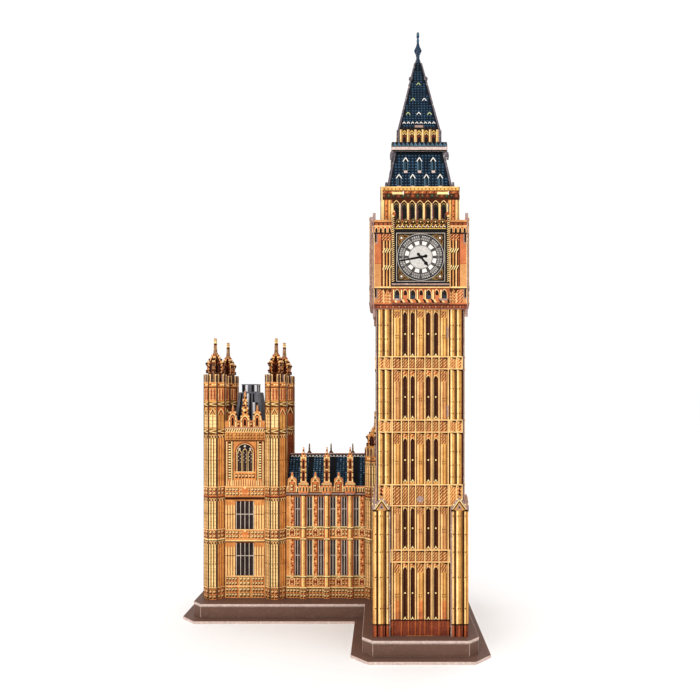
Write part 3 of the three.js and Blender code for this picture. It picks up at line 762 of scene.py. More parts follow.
def roof_art(s, half_low, half_high, rise):
    width = lambda v: half_low + (half_high - half_low) * v / rise
    slates(s, width, 1.0, rise - 1.5)
    for i in range(3):
        dormer(s, (i - 1) * 10.3, rise * 0.535, rise * 0.34)
    for i in range(4):
        dormer(s, (i - 1.5) * 10.2, rise * 0.16, rise * 0.30)
    for side in (-1, 1):
        leaning_strip(s, lambda v: side * (width(v) - 0.55), 0.55, 0, rise, "slate_edge", 0.3)


def hook(piece, corner, out, drop):
    """A small printed board hook at a corner of the roofs, lying in the upright plane through the corner."""
    s = Sheet(piece, corner, Vector((-out.y, out.x, 0)))
    side = 1 if s.right.dot(out) > 0 else -1
    shape = ((-1.5, 0), (1.8, 0), (2.6, 0.45), (2.2, 1), (1.3, 1), (1.2, 0.5), (-1.5, 0.6))
    piece.prism(s.at, [(side * u, -drop * part) for u, part in shape], "slate_edge", 0.8, -0.8)


def chevron(s, u, v, ink, size=1.5, top=0.5, width=0.5):
    for side in (-1, 1):
        s.line((u + side * size, v - size * 0.9), (u, v + size * 0.5), width, ink, top)


def leaning_strip(s, u_at, half, v0, v1, ink, top):
    """A strip up a tapering face; u_at gives its middle line at a height."""
    a, b = u_at(v0), u_at(v1)
    s.poly([(a - half, v0), (a + half, v0), (b + half, v1), (b - half, v1)], ink, top)


def spire_art(s, half_low, half_high, rise):
    width = lambda v: half_low + (half_high - half_low) * v / rise
    slates(s, width, 2.0, rise - 0.5, 2.2, 2.1)
    for part, places in ((0.682, (0,)), (0.448, (-4.3, 4.3)), (0.24, (-8.1, 0, 8.1))):
        for k, u in enumerate(places):
            chevron(s, u, part * rise, ("lime", "white")[k % 2])
    n = 8
    for i in range(n):
        chevron(s, (i - (n - 1) / 2) * 3.2, 0.1 * rise, "white", 1.0)
    s.band(3.2, 1.5, 3.3, "edge", 0.6)
    s.beads(-13, 13, 1.1, 2.6, 0.55, "bronze", 0.4)
    for side in (-1, 1):
        leaning_strip(s, lambda v: side * (width(v) - 0.45), 0.45, 0, rise, "slate_edge", 0.3)
        knob(s, side * (width(0.765 * rise) - 0.1), 0.765 * rise, 1.5, "slate_edge", 1.6)


def lantern_art(s, v0, v1):
    s.band(16.2, v0, v1, "brown", 0.06)
    for i in range(5):
        u = -11 + 5.5 * i
        s.arch(u, v0, v1 - 0.3, 4.4, "gilt", 0.2)
        s.arch(u, v0, v1 - 1.5, 3.5, "dark", 0.26)
        s.arch(u, v0, v0 + 6.4, 2.8, "redstone", 0.3)
        s.arch(u, v0, v0 + 5.4, 2.2, "black", 0.34)
        chevron(s, u, v0 + 7.6, "pale", 1.2, 0.4)
    for i in range(6):
        u = -13.75 + 5.5 * i
        s.rect(u - 0.7, u + 0.1, v0, v1, "cream", 0.5)
        s.rect(u + 0.1, u + 0.5, v0, v1, "redstone", 0.44)
        s.rect(u + 0.5, u + 0.9, v0, v1, "pale", 0.48)
    for side in (-1, 1):
        s.rect(side * 14.9, side * 16.2, v0, v1, "slate_edge", 0.5)


def tray_art(s, low, high):
    s.band(20.4, low + 3.4, high - 0.1, "slate", 0.2)
    for i in range(13):
        u = -18.6 + 3.1 * i
        s.poly([(u - 1.4, low + 3.8), (u + 1.4, low + 3.8), (u, high - 0.6)], "slate_b", 0.3)
        s.line((u - 1.5, low + 3.8), (u, high - 0.5), 0.4, "bronze", 0.4)
        s.line((u + 1.5, low + 3.8), (u, high - 0.5), 0.4, "slate_light", 0.42)
    s.band(20.4, low + 1.0, low + 3.2, "base_edge", 0.5)
    s.band(20.4, low + 0.1, low + 1.0, "slate_shade", 0.3)


def build_tower():
    for side, out in FACING.items():
        wall = Piece().board("shaft_wall_" + side)
        shaft_art(face_of(wall, "shaft_wall_" + side, out))
        wall.finish("shaft_print_" + side, "shaft_wall_" + side)

        wall = Piece().board("clock_wall_" + side, "amber")
        clock_wall_art(face_of(wall, "clock_wall_" + side, out))
        wall.finish("clock_print_" + side, "clock_wall_" + side)

        dial = Piece().board("dial_panel_" + side, "brown")
        dial_art(face_of(dial, "dial_panel_" + side, out))
        dial.finish("dial_print_" + side, "dial_panel_" + side)

        wall = Piece().board("belfry_wall_" + side, "amber")
        belfry_art(face_of(wall, "belfry_wall_" + side, out))
        wall.finish("belfry_print_" + side, "belfry_wall_" + side)

        node = "roof_panel_" + side
        low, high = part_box(node)
        rise = (high.z - low.z) / MM
        half_low = width_of(node) / 2
        run = min(high.x - low.x, high.y - low.y) / MM - 2
        panel = Piece().board(node, "slate", "slate_edge")
        lean = run / rise
        roof_art(slope_of(panel, node, out, lean), half_low, half_low - run, math.hypot(rise, run))
        panel.finish("roof_print_" + side, node)

        build_spire(side, out)

    for a in ("front", "back"):
        for b in ("left", "right"):
            node = "corner_pier_" + a + "_" + b
            pier = Piece().board(node)
            pier_art(face_of(pier, node, FACING[a]), 1 if (a == "front") == (b == "left") else -1)
            pier_art(face_of(pier, node, FACING[b]), 1 if (b == "left") == (a == "back") else -1)
            pier.finish("pier_print_" + a + "_" + b, node)

    hooks = Piece()
    for node, drop in (("belfry_cornice", -8.0), ("lantern_tray", 6.0)):
        low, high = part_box(node)
        axis = (low + high) / 2
        reach = high.x - axis.x - 0.8 * MM if drop > 0 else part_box("roof_panel_front")[1].x - axis.x - 1.2 * MM
        level = low.z - 0.4 * MM if drop > 0 else high.z + 0.4 * MM
        for x in (-1, 1):
            for y in (-1, 1):
                out = Vector((x, y, 0)).normalized()
                hook(hooks, Vector((axis.x + x * reach, axis.y + y * reach, level)), out, drop)
    hooks.finish("roof_hooks", slot="slate_print_board")

    finial = Piece().board("finial", "slate_a", "slate_edge", thin=0.6)
    low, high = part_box("finial")
    middle = (low + high) / 2
    for out in FACING.values():
        s = Sheet(finial, Vector((middle.x, middle.y, 0)) + out * MM, out)
        for i in range(12):
            v = low.z / MM + 0.8 + 1.1 * i
            s.disc((0.5, -0.5)[i % 2], v, 0.34, "lead_light", 0.12, 6)
    s = Sheet(finial, Vector((middle.x, middle.y - MM, 0)), FACING["front"])
    for k, v in enumerate((-2.4, -6.6)):
        knob(s, 0, high.z / MM + v, 1.1 - 0.1 * k, "slate_b")
    finial.finish("finial_print", "finial")

    tray = Piece().board("lantern_tray", "slate", "base_edge")
    low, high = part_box("lantern_tray")
    for out in FACING.values():
        tray_art(face_of(tray, "lantern_tray", out), low.z / MM, high.z / MM)
    tray.finish("tray_print", "lantern_tray")


def build_spire(side, out):
    """A spire panel: the upright lantern front below its scored line, and the leaning slate face above it."""
    node = "spire_panel_" + side
    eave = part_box("lantern_tray")[1].z + LANTERN_TALL * MM
    panel = Piece().board(node, "slate", "slate_edge")
    lantern = face_of(panel, node, out)
    lantern_art(lantern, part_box("lantern_tray")[0].z / MM + 7.2, eave / MM - 0.4)
    half = width_of(node) / 2
    rise = (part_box(node)[1].z - eave) / MM
    run = half - SPIRE_TIP
    up = (UP * rise - out * run).normalized()
    face = Sheet(panel, lantern.at(0, eave / MM, -0.5), (out * rise + UP * run).normalized(), up)
    spire_art(face, half - 0.5, SPIRE_TIP, math.hypot(rise, run))
    panel.finish("spire_print_" + side, node)


# ---------------------------------------------------------------- gatehouse
TURRET_HEAD = 200.4  # foot of the merlons on the gatehouse turrets
LINK_DROP = 63.7  # how much lower the two link turrets beside the clock tower end
LINK_CROWN = 143.8  # foot of the link turrets' crowns
TURRET_TONES = {
    -90: ("gold", "cream", "brown"),
    -135: ("yellow", "pale", "olive"),
    180: ("gold", "pale", "olive"),
    135: ("amber", "pale", "brown"),
    90: ("gold", "cream", "olive"),
    45: ("orange", "yellow", "rust"),
    0: ("orange", "yellow", "rust"),
    -45: ("orange", "gold", "rust"),
}


def turret_face_art(s, tones, drop):
    """One of the eight faces; drop is how much lower this turret ends than the gatehouse's."""
    ground, light, shade = tones
    half, foot, top = 3.55, SHAFT_FOOT, TURRET_HEAD - drop
    courses = [(65.0, 74.0), (102.0, 110.6)]
    if not drop:
        courses += [(156.3, 160.8), (179.6, 184.2)]
    s.band(half, foot, top, ground, 0.05)
    stops = [24.3] + [v for pair in courses for v in pair] + [top - 4.2]
    for low, high in zip(stops[::2], stops[1::2]):
        if low > 178 - drop and high - low < 14:
            sunk_panel(s, low, high)
        elif low > 155:
            ogee_panel(s, low, high, light)
        else:
            shaft_trio(s, low, high, light, shade)
    joint = foot + 2
    while joint < top and ground != "orange":
        s.band(half, joint, joint + 0.16, "rust", 0.46)
        joint += 3.1
    for low, high in courses:
        turret_course(s, half, low, high)
    s.tracery(-3.3, 3.3, foot + 0.4, 22.8, "orange", "pale", 0.3)
    s.band(half, 23.0, 23.7, "brown", 0.5)
    s.band(half, 23.7, 24.4, "pale", 0.56)
    s.band(half, top - 4.4, top - 3.6, "brown", 0.5)
    s.band(half, top - 3.6, top - 0.3, "amber", 0.4)
    for u in (-2.2, 0, 2.2):
        s.disc(u, top - 1.9, 0.75, ("cream", "redstone", "cream")[int(u) % 3], 0.5, 6)
    for side in (-1, 1):  # merlons and folds
        s.rect(side * 1.85, side * half, top - 0.3, top + 7.0, "pale", 0.2)
        s.rect(side * 2.5, side * 3.1, top + 0.4, top + 6.0, "brown", 0.3)
        s.rect(side * half, side * (half - 0.32), foot, top + 7.0, "umber", 0.56)


def shaft_trio(s, low, high, light, shade):
    """Three thin shafts under small arches, with a bead half way up."""
    for u in (-2.3, 0, 2.3):
        s.rect(u - 0.75, u + 0.35, low + 0.3, high - 1.2, light, 0.34)
        s.rect(u + 0.35, u + 0.95, low + 0.3, high - 1.2, shade, 0.14)
        s.arch(u, high - 3.6, high - 0.6, 2.1, "pale", 0.38)
        s.arch(u, high - 3.6, high - 1.3, 1.2, "brown", 0.42)
        s.disc(u, (low + high) / 2, 0.4, "brown", 0.42, 6)


def ogee_panel(s, low, high, light):
    s.band(2.9, low + 0.4, high - 7, light, 0.12)
    s.band(0.3, low + 0.4, high - 7, "olive", 0.16)
    for side in (-1, 1):
        s.line((side * 3.0, high - 7), (0, high - 1.4), 0.8, "pale", 0.36)
        s.line((side * 2.2, high - 7), (0, high - 3.0), 0.6, "brown", 0.3)
        s.disc(side * 2.4, high - 2.2, 0.6, "rust", 0.36, 6)


def sunk_panel(s, low, high):
    s.band(2.8, low + 0.6, high - 0.6, "amber", 0.2)
    for u in (-1.35, 1.35):
        s.rect(u - 1.0, u + 1.0, low + 1.4, high - 1.4, "clay", 0.26)
        s.rect(u - 0.1, u + 0.5, low + 1.8, high - 2.0, "redstone", 0.3)
        s.rect(u - 1.3, u - 0.8, low + 0.8, high - 0.8, "pale", 0.34)


def turret_course(s, half, low, high):
    small = high - low < 6
    s.band(half, low, high, "olive" if small else "amber", 0.36)
    if small:
        s.zigzag(-3.2, 3.2, low + 0.6, high - 0.8, 2, 0.6, "cream", 0.44)
        s.band(half, low - 0.5, low + 0.3, "brown", 0.5)
        s.band(half, high - 0.6, high, "gold", 0.5)
    else:
        s.tracery(-3.2, 3.2, low + 1.6, high - 0.6, "rust", "pale", 0.38)
        s.band(half, low - 0.1, low + 0.9, "cream" if low < 90 else "rust", 0.6)
        s.band(half, low - 0.9, low - 0.1, "dark", 0.5)
        s.band(half, high - 0.4, high + 0.3, "pale", 0.6)


def turret(node, drop, name):
    """A folded eight-sided turret. The rear pair of the gatehouse gets painted shade: it is drawn darker where
    it faces front.
    """
    rear = name.startswith("back")
    piece = Piece(roundels=True).board(node)
    low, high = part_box(node)
    middle = (low + high) / 2
    reach = (high.x - low.x) / 2
    for angle, tones in TURRET_TONES.items():
        out = Vector((math.cos(math.radians(angle)), math.sin(math.radians(angle)), 0))
        origin = Vector((middle.x, middle.y, 0)) + out * reach
        # painted shade on the rear turrets' faces that look to the front
        if rear and out.y < -0.5:
            tones = ("brown", "rust", "dark")
        turret_face_art(Sheet(piece, origin, out), tones, drop)
    return piece


CROWN_KNOBS = (  # u, height over the crown's foot, radius and ink
    (7.3, 3.2, 0.95, "brown"),
    (6.7, 1.6, 0.7, "dark"),
    (7.6, 9.2, 1.0, "brown"),
    (6.9, 7.8, 0.8, "dark"),
    (6.2, 11.0, 0.95, "pale"),
    (4.9, 12.9, 0.95, "brown"),
    (3.6, 14.8, 0.9, "pale"),
    (2.5, 16.6, 0.8, "rust"),
)


def crown_art(piece, node, top, angle):
    """Both sides of the two crossed boards: dark openings between crocketed ribs, and a beaded finial."""
    low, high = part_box(node)
    middle = (low + high) / 2
    for k in range(4):
        turn = angle + k * math.pi / 2
        out = Vector((math.cos(turn), math.sin(turn), 0))
        s = Sheet(piece, Vector((middle.x, middle.y, 0)) + out * MM, out)
        for side in (-1, 1):
            s.arch(side * 3.4, top + 1.2, top + 10.8, 4.4, "rust", 0.1)
            s.arch(side * 3.3, top + 1.6, top + 10.0, 3.4, "dark", 0.16)
            s.rect(side * 3.1, side * 3.5, top + 2, top + 8, "redstone", 0.22)
            s.line((side * 6.0, top + 2.4), (side * 6.4, top + 7.4), 0.6, "orange", 0.24)
            s.line((side * 6.2, top + 8.0), (side * 1.6, top + 17.6), 0.6, "orange", 0.24)
            for i in range(5):
                s.disc(side * (6.0 - 0.95 * i), top + 8.6 + 2.0 * i, 0.5, "cream", 0.3, 6)
                s.disc(side * 5.4, top + 2.0 + 1.4 * i, 0.45, ("cream", "dark")[i % 2], 0.3, 6)
            s.rect(side * 0.9, side * 1.6, top + 1, top + 17, "dark", 0.24)
            if k < 2:
                for u, v, size, ink in CROWN_KNOBS:
                    knob(s, side * u, top + v, size, ink)
        if k < 2:
            for i in range(7):
                knob(s, 0, top + 18.4 + 1.9 * i, 1.45 - 0.1 * i, ("pale", "brown", "cream")[i % 3], 2.4)


def window(s, u0, u1, v0, v1, lights, transom):
    """A mullioned window with arched lights side by side and one bar across."""
    s.rect(u0 - 0.6, u1 + 0.6, v0 - 0.6, v1 + 0.4, "brown", 0.1)
    w = (u1 - u0) / lights
    for i in range(lights):
        u = u0 + (i + 0.5) * w
        s.arch(u, v0, v1, w * 0.86, "glass", 0.16)
        s.rect(u - 0.12, u + 0.12, v0, v1 - w, "umber", 0.2)
    for i in range(lights + 1):
        s.rect(u0 + i * w - 0.28, u0 + i * w + 0.28, v0, v1, "lead_bar", 0.3)
    s.rect(u0, u1, transom - 0.3, transom + 0.3, "lead_bar", 0.34)


GATE_STOREYS = ((33.6, 61.5), (73.8, 97.6))  # windows of the two lower storeys


def gate_front_art(s):
    half = 17.0
    s.band(half, SHAFT_FOOT, 24.0, "amber", 0.06)
    for low, high in ((SHAFT_FOOT + 0.6, 23.4), (24.6, 32.4)):
        for u0, u1 in ((-16.5, -6.2), (-4.8, 4.8), (6.2, 16.5)):
            s.tracery(u0, u1, low, high, "orange" if abs(u0 + u1) > 1 else "amber", "cream")
    s.band(half, 23.6, 24.5, "pale", 0.4)
    s.band(half, 32.3, 33.2, "pale", 0.4)
    for (low, high), transom in zip(GATE_STOREYS, (50.5, 86.4)):
        window(s, -7.4, 7.4, low, high, 4, transom)
        for side in (-1, 1):
            for u in (9.0, 11.3, 13.6, 15.9):
                s.rect(side * u - 0.8, side * u + 0.4, low - 0.3, high - 1.4, "pale", 0.34)
                s.rect(side * u + 0.4, side * u + 0.9, low - 0.3, high - 1.4, "olive", 0.12)
                s.arch(side * u - 0.2, high - 3.4, high - 0.3, 1.9, "amber", 0.38)
            s.rect(side * 8.4, side * 17, transom - 0.25, transom + 0.25, "brown", 0.4)
    for low, high in ((65.0, 73.0), (102.0, 110.2)):
        s.band(half, low - 3, high, "amber", 0.1)
        for u0, u1 in ((-16.6, -5.2), (5.2, 16.6)):
            s.tracery(u0, u1, low + 0.4, high - 0.8, "orange", "cream", 0.14)
        s.tracery(-4.6, 4.6, low + 0.4, high - 1.2, "amber", "pale", 0.2)
        hood = [(-2.6, low + 1), (2.6, low + 1), (3.2, high - 3), (0, high + 0.6), (-3.2, high - 3)]
        s.poly(hood, "orange", 0.34)
        s.disc(0, high - 1.0, 0.9, "cream", 0.5, 8)
        for u in (-2.2, 0, 2.2):
            s.disc(u, low + 2.4, 0.6, "pale", 0.42, 6)
        s.band(half, high - 0.5, high + 0.3, "pale", 0.4)
        s.band(half, low - 2.0, low - 0.8, "pale" if low < 90 else "brown", 0.6)
        s.band(half, low - 2.9, low - 2.0, "brown" if low < 90 else "dark", 0.5)
    for i in range(20):
        u = -16.2 + 1.7 * i
        s.line((u - 0.5, 99.1), (u + 0.5, 100.3), 0.5, "dark", 0.64)
    # oriel sill
    s.tracery(-8.8, 8.8, 117.2, 121.6, "orange", "pale", 0.2)
    for u in range(-14, 15, 2):
        s.rect(u - 0.5, u + 0.3, 110.8, 116.8 - abs(u) * 0.12, "pale", 0.34)
        s.rect(u + 0.3, u + 0.8, 110.8, 116.4 - abs(u) * 0.12, "rust", 0.14)
    # the great window under its round arch
    s.band(9.6, 121.6, 149.4, "amber", 0.1)
    s.band(8.6, 122.6, 140.2, "pale", 0.16)
    arc = [math.pi * i / 14 for i in range(15)]
    for r, ink, top in ((8.9, "rust", 0.16), (8.2, "redstone", 0.2), (7.6, "pale", 0.24), (7.1, "glass", 0.28)):
        s.poly([(-r, 123.2), (r, 123.2), *((r * math.cos(a), 140.0 + r * math.sin(a)) for a in arc)], ink, top)
    for i in range(3):
        u = (i - 1) * 4.7
        s.arch(u, 123.2, 143.4 - abs(i - 1) * 1.2, 3.9, "pale", 0.34)
        s.arch(u, 123.4, 142.7 - abs(i - 1) * 1.2, 3.2, "glass", 0.4)
        s.rect(u - 0.2, u + 0.2, 123.4, 140, "umber", 0.44)
        s.disc(u, 145.2 - abs(i - 1) * 2.2, 1.0, "lead_bar", 0.4, 8)
        for j in range(6):
            s.disc(u + (0.9, -0.9)[j % 2], 131.5 + 1.6 * j, 0.4, "lead_bar", 0.46, 6)
    for side in (-1, 1):
        s.rect(side * 12.1, side * 14.3, 117, 149, "dark", 0.2)
        for i in range(14):
            s.rect(side * 12.3, side * 14.1, 117.6 + 2.2 * i, 118.7 + 2.2 * i, "cream", 0.3)
        for u, ink in ((10.4, "brown"), (11.3, "cream"), (14.7, "rust"), (15.7, "cream"), (16.6, "brown")):
            s.rect(side * u - 0.35, side * u + 0.35, 111, 149.4, ink, 0.3)
    for u0, u1 in ((-16.6, -10.4), (-9.2, 9.2), (10.4, 16.6)):
        s.tracery(u0, u1, 151, 157, "amber", "gold", 0.2)
    s.band(half, 149.4, 150.4, "brown", 0.4)
    s.band(half, 157.2, 161.0, "pale", 0.5)
    for i in range(17):
        u = -16.2 + 2.03 * i
        s.line((u - 0.5, 157.8), (u + 0.6, 160.2), 0.8, "dark", 0.56)
    s.band(half, 160.6, 161.3, "edge", 0.6)
    # the three gables
    for u, top, wide in ((-10.6, 174.0, 2.6), (0, 172.4, 3.0), (10.6, 174.0, 2.6)):
        s.arch(u, 161.8, top, wide * 2 + 0.6, "pale", 0.2)
        s.arch(u, 162.2, top - 1.2, wide * 2 - 0.8, "brown", 0.26)
        s.arch(u, 162.6, top - 2.4, wide * 1.4, "orange", 0.32)
        s.arch(u, 163.0, top - 3.6, wide * 0.8, "dark", 0.36)
        for du in (-wide, wide):
            s.rect(u + du - 0.4, u + du + 0.4, 161.8, top - 3, "cream", 0.4)
        for side in (-1, 1):
            for v in (168, 172):
                s.disc(u + side * (wide + 0.2), v - 1, 0.7, "pale", 0.4, 6)
    for i in range(7):
        s.disc(0.5 * (-1) ** i, 174.5 + 2 * i, 1.2 - 0.1 * i, ("dark", "cream", "brown")[i % 3], 0.3, 6)
    for side in (-1, 1):
        for i in range(7):
            knob(s, side * (2.8 - 0.3 * i), 173.2 + 2.4 * i, 0.7, ("dark", "brown", "pale")[i % 3])
        for u in (-10.6, 10.6):
            for i in range(3):
                knob(s, u + side * (3.0 - 0.9 * i), 172.6 + 1.9 * i, 0.7, ("brown", "pale")[i % 2])
    for u in (-5.6, 5.6):
        s.tracery(u - 1.2, u + 1.2, 161.8, 166.4, "rust", "pale", 0.2)


def gate_side_art(s, half):
    for low, high in (*GATE_STOREYS, (114.0, 148.0)):
        window(s, -5.0, 5.0, low, high, 3, (low + high) / 2)
        for side in (-1, 1):
            for u in (6.8, 9.0, 11.2):
                s.rect(side * u - 0.7, side * u + 0.4, low, high - 1.4, "pale", 0.34)
                s.rect(side * u + 0.4, side * u + 0.9, low, high - 1.4, "olive", 0.12)
    for low, high in ((SHAFT_FOOT + 1, 31.5), (63.6, 72.2), (100.0, 110.0), (150.6, 157)):
        s.tracery(-half + 0.6, half - 0.6, low, high, "rust", "amber", 0.14)
        s.band(half, high, high + 0.9, "pale", 0.4)
        s.band(half, low - 1.3, low - 0.5, "brown", 0.4)
    s.band(half, 158, 161, "pale", 0.3)


def gate_roof_art(piece):
    """Steep lead roof: standing rolls with white flashes of painted glare reflection and black flashes between
    them.
    """
    low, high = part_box("gate_roof")
    middle = (low + high) / 2
    foot, shoulder, crest = 150.0, 192.0, 199.4
    wide, narrow, box_half = 14.0, 9.0, 7.0
    rise = shoulder - foot
    for out in FACING.values():
        base = Vector((middle.x, middle.y, 0)) + out * wide * MM
        up = (UP * rise - out * (wide - narrow)).normalized()
        s = Sheet(piece, base + UP * foot * MM, (out * rise + UP * (wide - narrow)).normalized(), up)
        tall = math.hypot(rise, wide - narrow)
        width = lambda v: wide + (narrow - wide) * v / tall
        for k in range(-3, 4):
            leaning_strip(s, lambda v: k * width(v) / 3.6, 0.45, 0.5, tall - 0.4, "lead", 0.6)
        for k in range(-3, 3):
            for part in range(5):  # the painted glare and the black flashes break up down the slope
                v0, v1 = 1 + part * (tall - 2) / 5, 1 + (part + 1) * (tall - 2) / 5
                shown = ("lead_dark", "lead_light", "lead_light", "lead_dark", "lead_light", "lead")[k + 3]
                ink = dice.choice((shown, shown, shown, "lead_dark"))
                leaning_strip(s, lambda v: (k + 0.5) * width(v) / 3.6, 1.35 - 0.1 * part, v0, v1, ink, 0.2)
        crest_face = Sheet(piece, Vector((middle.x, middle.y, 0)) + out * box_half * MM, out)
        for k in range(5):
            u = (k - 2) * 2.7
            # the crest box's pale strips are painted glare reflection too
            ink = ("lead_dark", "lead_light", "lead")[k % 3]
            crest_face.rect(u - 1.0, u + 1.0, shoulder + 0.6, crest - 0.8, ink, 0.2)
        crest_face.band(6.9, crest - 0.8, crest - 0.1, "lead", 0.4)


def build_gatehouse():
    for a in ("front", "back"):
        for b in ("left", "right"):
            place = a + "_" + b
            node = "gate_turret_" + place
            turret(node, 0, place).finish("turret_print_" + place, node)
            node = "gate_crown_" + place
            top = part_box("gate_turret_" + place)[1].z / MM
            crown = Piece().board(node, "brown", "gilt_edge")
            crown_art(crown, node, top, 0 if place == "front_left" else math.pi / 4)
            crown.finish("crown_print_" + place, node)
        node = "gate_facade_" + a
        front = Piece(roundels=True).board(node, "amber")
        gate_front_art(face_of(front, node, FACING[a]))
        front.finish("gate_print_" + a, node)
    for side in ("left", "right"):
        node = "gate_wall_" + side
        wall = Piece(roundels=True).board(node, "amber")
        gate_side_art(face_of(wall, node, FACING[side]), width_of(node) / 2)
        wall.finish("gate_side_print_" + side, node)
    roof = Piece().board("gate_roof", "lead", "lead", thin=0.5)
    gate_roof_art(roof)
    roof.finish("gate_roof_print", "gate_roof")


# ---------------------------------------------------------------- palace wing
BAY = 20.15
CORNICE, CORNICE_LIP, CORNICE_TOP = 102.4, 103.4, 104.6


def wing_front_art(s, first, last, pilasters):
    """Two storeys of paired windows between ornate pilasters; first and last bound the face in u."""
    s.rect(first, last, SHAFT_FOOT, 103, "amber", 0.04)
    for low, high, lines in ((SHAFT_FOOT, 22.6, "cream"), (23.8, 32.4, "pale"), (66.8, 75.0, "cream")):
        s.tracery(first + 0.3, last - 0.3, low + 0.5, high - 0.3, "orange", lines, 0.12)
        s.rect(first, last, high, high + 0.8, "cream", 0.5)
        s.rect(first, last, high - 0.6, high, "brown", 0.4)
    s.rect(first, last, 65.6, 66.6, "pale", 0.6)
    s.rect(first, last, 64.8, 65.6, "brown", 0.4)
    for p in pilasters:
        for low, high in ((33.6, 64.2), (76.2, 101.8)):
            for side in (-1, 1):
                u = p + side * 4.9
                if first + 2.8 < u < last - 2.8:
                    s.rect(u - 2.9, u - 2.4, low, high, "rust", 0.3)
                    s.rect(u + 2.4, u + 2.9, low, high, "cream", 0.3)
                    window(s, u - 2.2, u + 2.2, low, high - 0.4, 2, (low + high) / 2 + 2)
        if first + 2.2 < p < last - 2.2:
            pilaster(s, p)
    parapet(s, first, last, pilasters)


def pilaster(s, p):
    """A carved strip with beads in two ranks, and a hooded niche at the foot of each storey."""
    for low, high in ((24.2, 64.6), (66.8, 102.6)):
        s.rect(p - 2.0, p + 2.0, low, high, "orange", 0.3)
        s.rect(p - 2.0, p - 1.5, low, high, "cream", 0.4)
        s.rect(p + 1.5, p + 2.0, low, high, "brown", 0.36)
        n = int((high - low) / 1.8)
        for i in range(n):
            v = low + (i + 0.6) * (high - low) / n
            s.disc(p + (0.55 if i % 2 else -0.55), v, 0.72, ("dark", "redstone", "pale")[i % 3], 0.4, 6)
    for v in (28.4, 71.2):
        for half, foot, eave, tip, ink, top in (
            (2.6, -3.6, 1.6, 4.4, "pale", 0.44),
            (1.9, -3.2, 1.2, 3.2, "rust", 0.5),
        ):
            head = [(p + half, v + eave), (p, v + tip), (p - half, v + eave)]
            s.poly([(p - half, v + foot), (p + half, v + foot), *head], ink, top)
        for du, dv, ink in ((0, 1.4, "cream"), (-0.9, -0.6, "dark"), (0.9, -0.6, "dark"), (0, -2.2, "pale")):
            s.disc(p + du, v + dv, 0.62, ink, 0.56, 6)


def parapet(s, first, last, pilasters):
    """The cornice, the pierced parapet over it, and a gablet over each pilaster."""
    s.rect(first, last, CORNICE, CORNICE_LIP, "dark", 0.5)
    s.rect(first, last, CORNICE_LIP, CORNICE_TOP, "edge", 0.7)
    s.rect(first, last, CORNICE_TOP, CORNICE_TOP + 0.8, "brown", 0.5)
    s.rect(first, last, 105.4, 110.4, "orange", 0.2)
    n = round((last - first) / 2.1)
    for i in range(n):
        u = first + (i + 0.5) * (last - first) / n
        s.arch(u, 105.6, 110.0, 1.7, "cream", 0.26)
        s.arch(u + 0.1, 105.6, 109.2, 1.0, "dark", 0.3)
    for p in pilasters:
        if not first + 4.4 < p < last - 4.4:
            continue
        s.arch(p, 105.6, 117.8, 7.4, "pale", 0.34)
        s.arch(p, 105.8, 116.8, 6.2, "brown", 0.38)
        s.arch(p, 106.0, 115.6, 4.8, "orange", 0.42)
        s.tracery(p - 1.7, p + 1.7, 106.4, 112.4, "rust", "cream", 0.46)
        for side in (-1, 1):
            for i in range(3):
                s.disc(p + side * (3.4 - 0.9 * i), 110.4 + 2.3 * i, 0.7, ("cream", "rust")[i % 2], 0.5, 6)
        s.rect(p - 0.4, p + 0.4, 117.6, 122, "orange", 0.3)
        s.disc(p, 118.6, 0.9, "cream", 0.4, 8)


def buttress_art(s):
    s.band(2.6, SHAFT_FOOT, 103, "orange", 0.1)
    for low, high in ((24.2, 64.5), (66.5, 102.6)):
        s.band(1.5, low, high, "yellow", 0.4)
        s.rect(-1.2, -0.2, low, high, "cream", 0.5)
        s.rect(1.1, 1.9, low, high, "brown", 0.44)
        s.rect(-2.6, -2.1, low, high, "rust", 0.2)
        s.disc(0.4, (low + high) / 2, 0.5, "brown", 0.56, 6)
    for v in (23.4, 33.2, 65.5, 75.4):
        s.band(2.6, v - 0.5, v + 0.4, "cream", 0.6)
        s.band(2.6, v - 1.2, v - 0.5, "dark", 0.5)
    s.tracery(-2.5, 2.5, SHAFT_FOOT + 0.5, 22, "orange", "cream", 0.3)
    s.band(2.6, 102.6, 103.6, "dark", 0.6)
    s.band(2.6, 103.6, 105.0, "edge", 0.7)
    s.band(4.2, 106, 113.2, "orange", 0.2)
    s.band(4.3, 112.4, 113.2, "cream", 0.5)
    s.band(4.3, 111.8, 112.4, "dark", 0.44)
    for u in (-2.8, 0, 2.8):
        s.arch(u, 106.4, 111.4, 2.0, "pale", 0.3)
        s.arch(u, 106.4, 110.4, 1.1, "dark", 0.36)
    s.band(2.4, 115, 136.4, "russet", 0.1)
    for side in (-1, 1):
        s.rect(side * 1.6, side * 2.4, 115, 136, "pale", 0.36)
        for i in range(9):
            s.disc(side * 2.0, 116 + 2.3 * i, 0.6, ("cream", "brown")[i % 2], 0.5, 6)
    s.arch(0, 115.2, 124.8, 2.8, "rust", 0.3)
    s.arch(0, 115.6, 123.8, 1.6, "dark", 0.36)
    s.arch(0, 125.6, 134.6, 2.6, "rust", 0.3)
    s.arch(0, 126.0, 133.6, 1.4, "dark", 0.36)
    for v in (114.6, 125.2, 135.4):
        s.band(2.4, v - 0.4, v + 0.4, "cream", 0.5)
    for i in range(5):
        s.disc(0, 137 + 1.6 * i, 0.85 - 0.08 * i, ("cream", "brown")[i % 2], 0.3, 6)


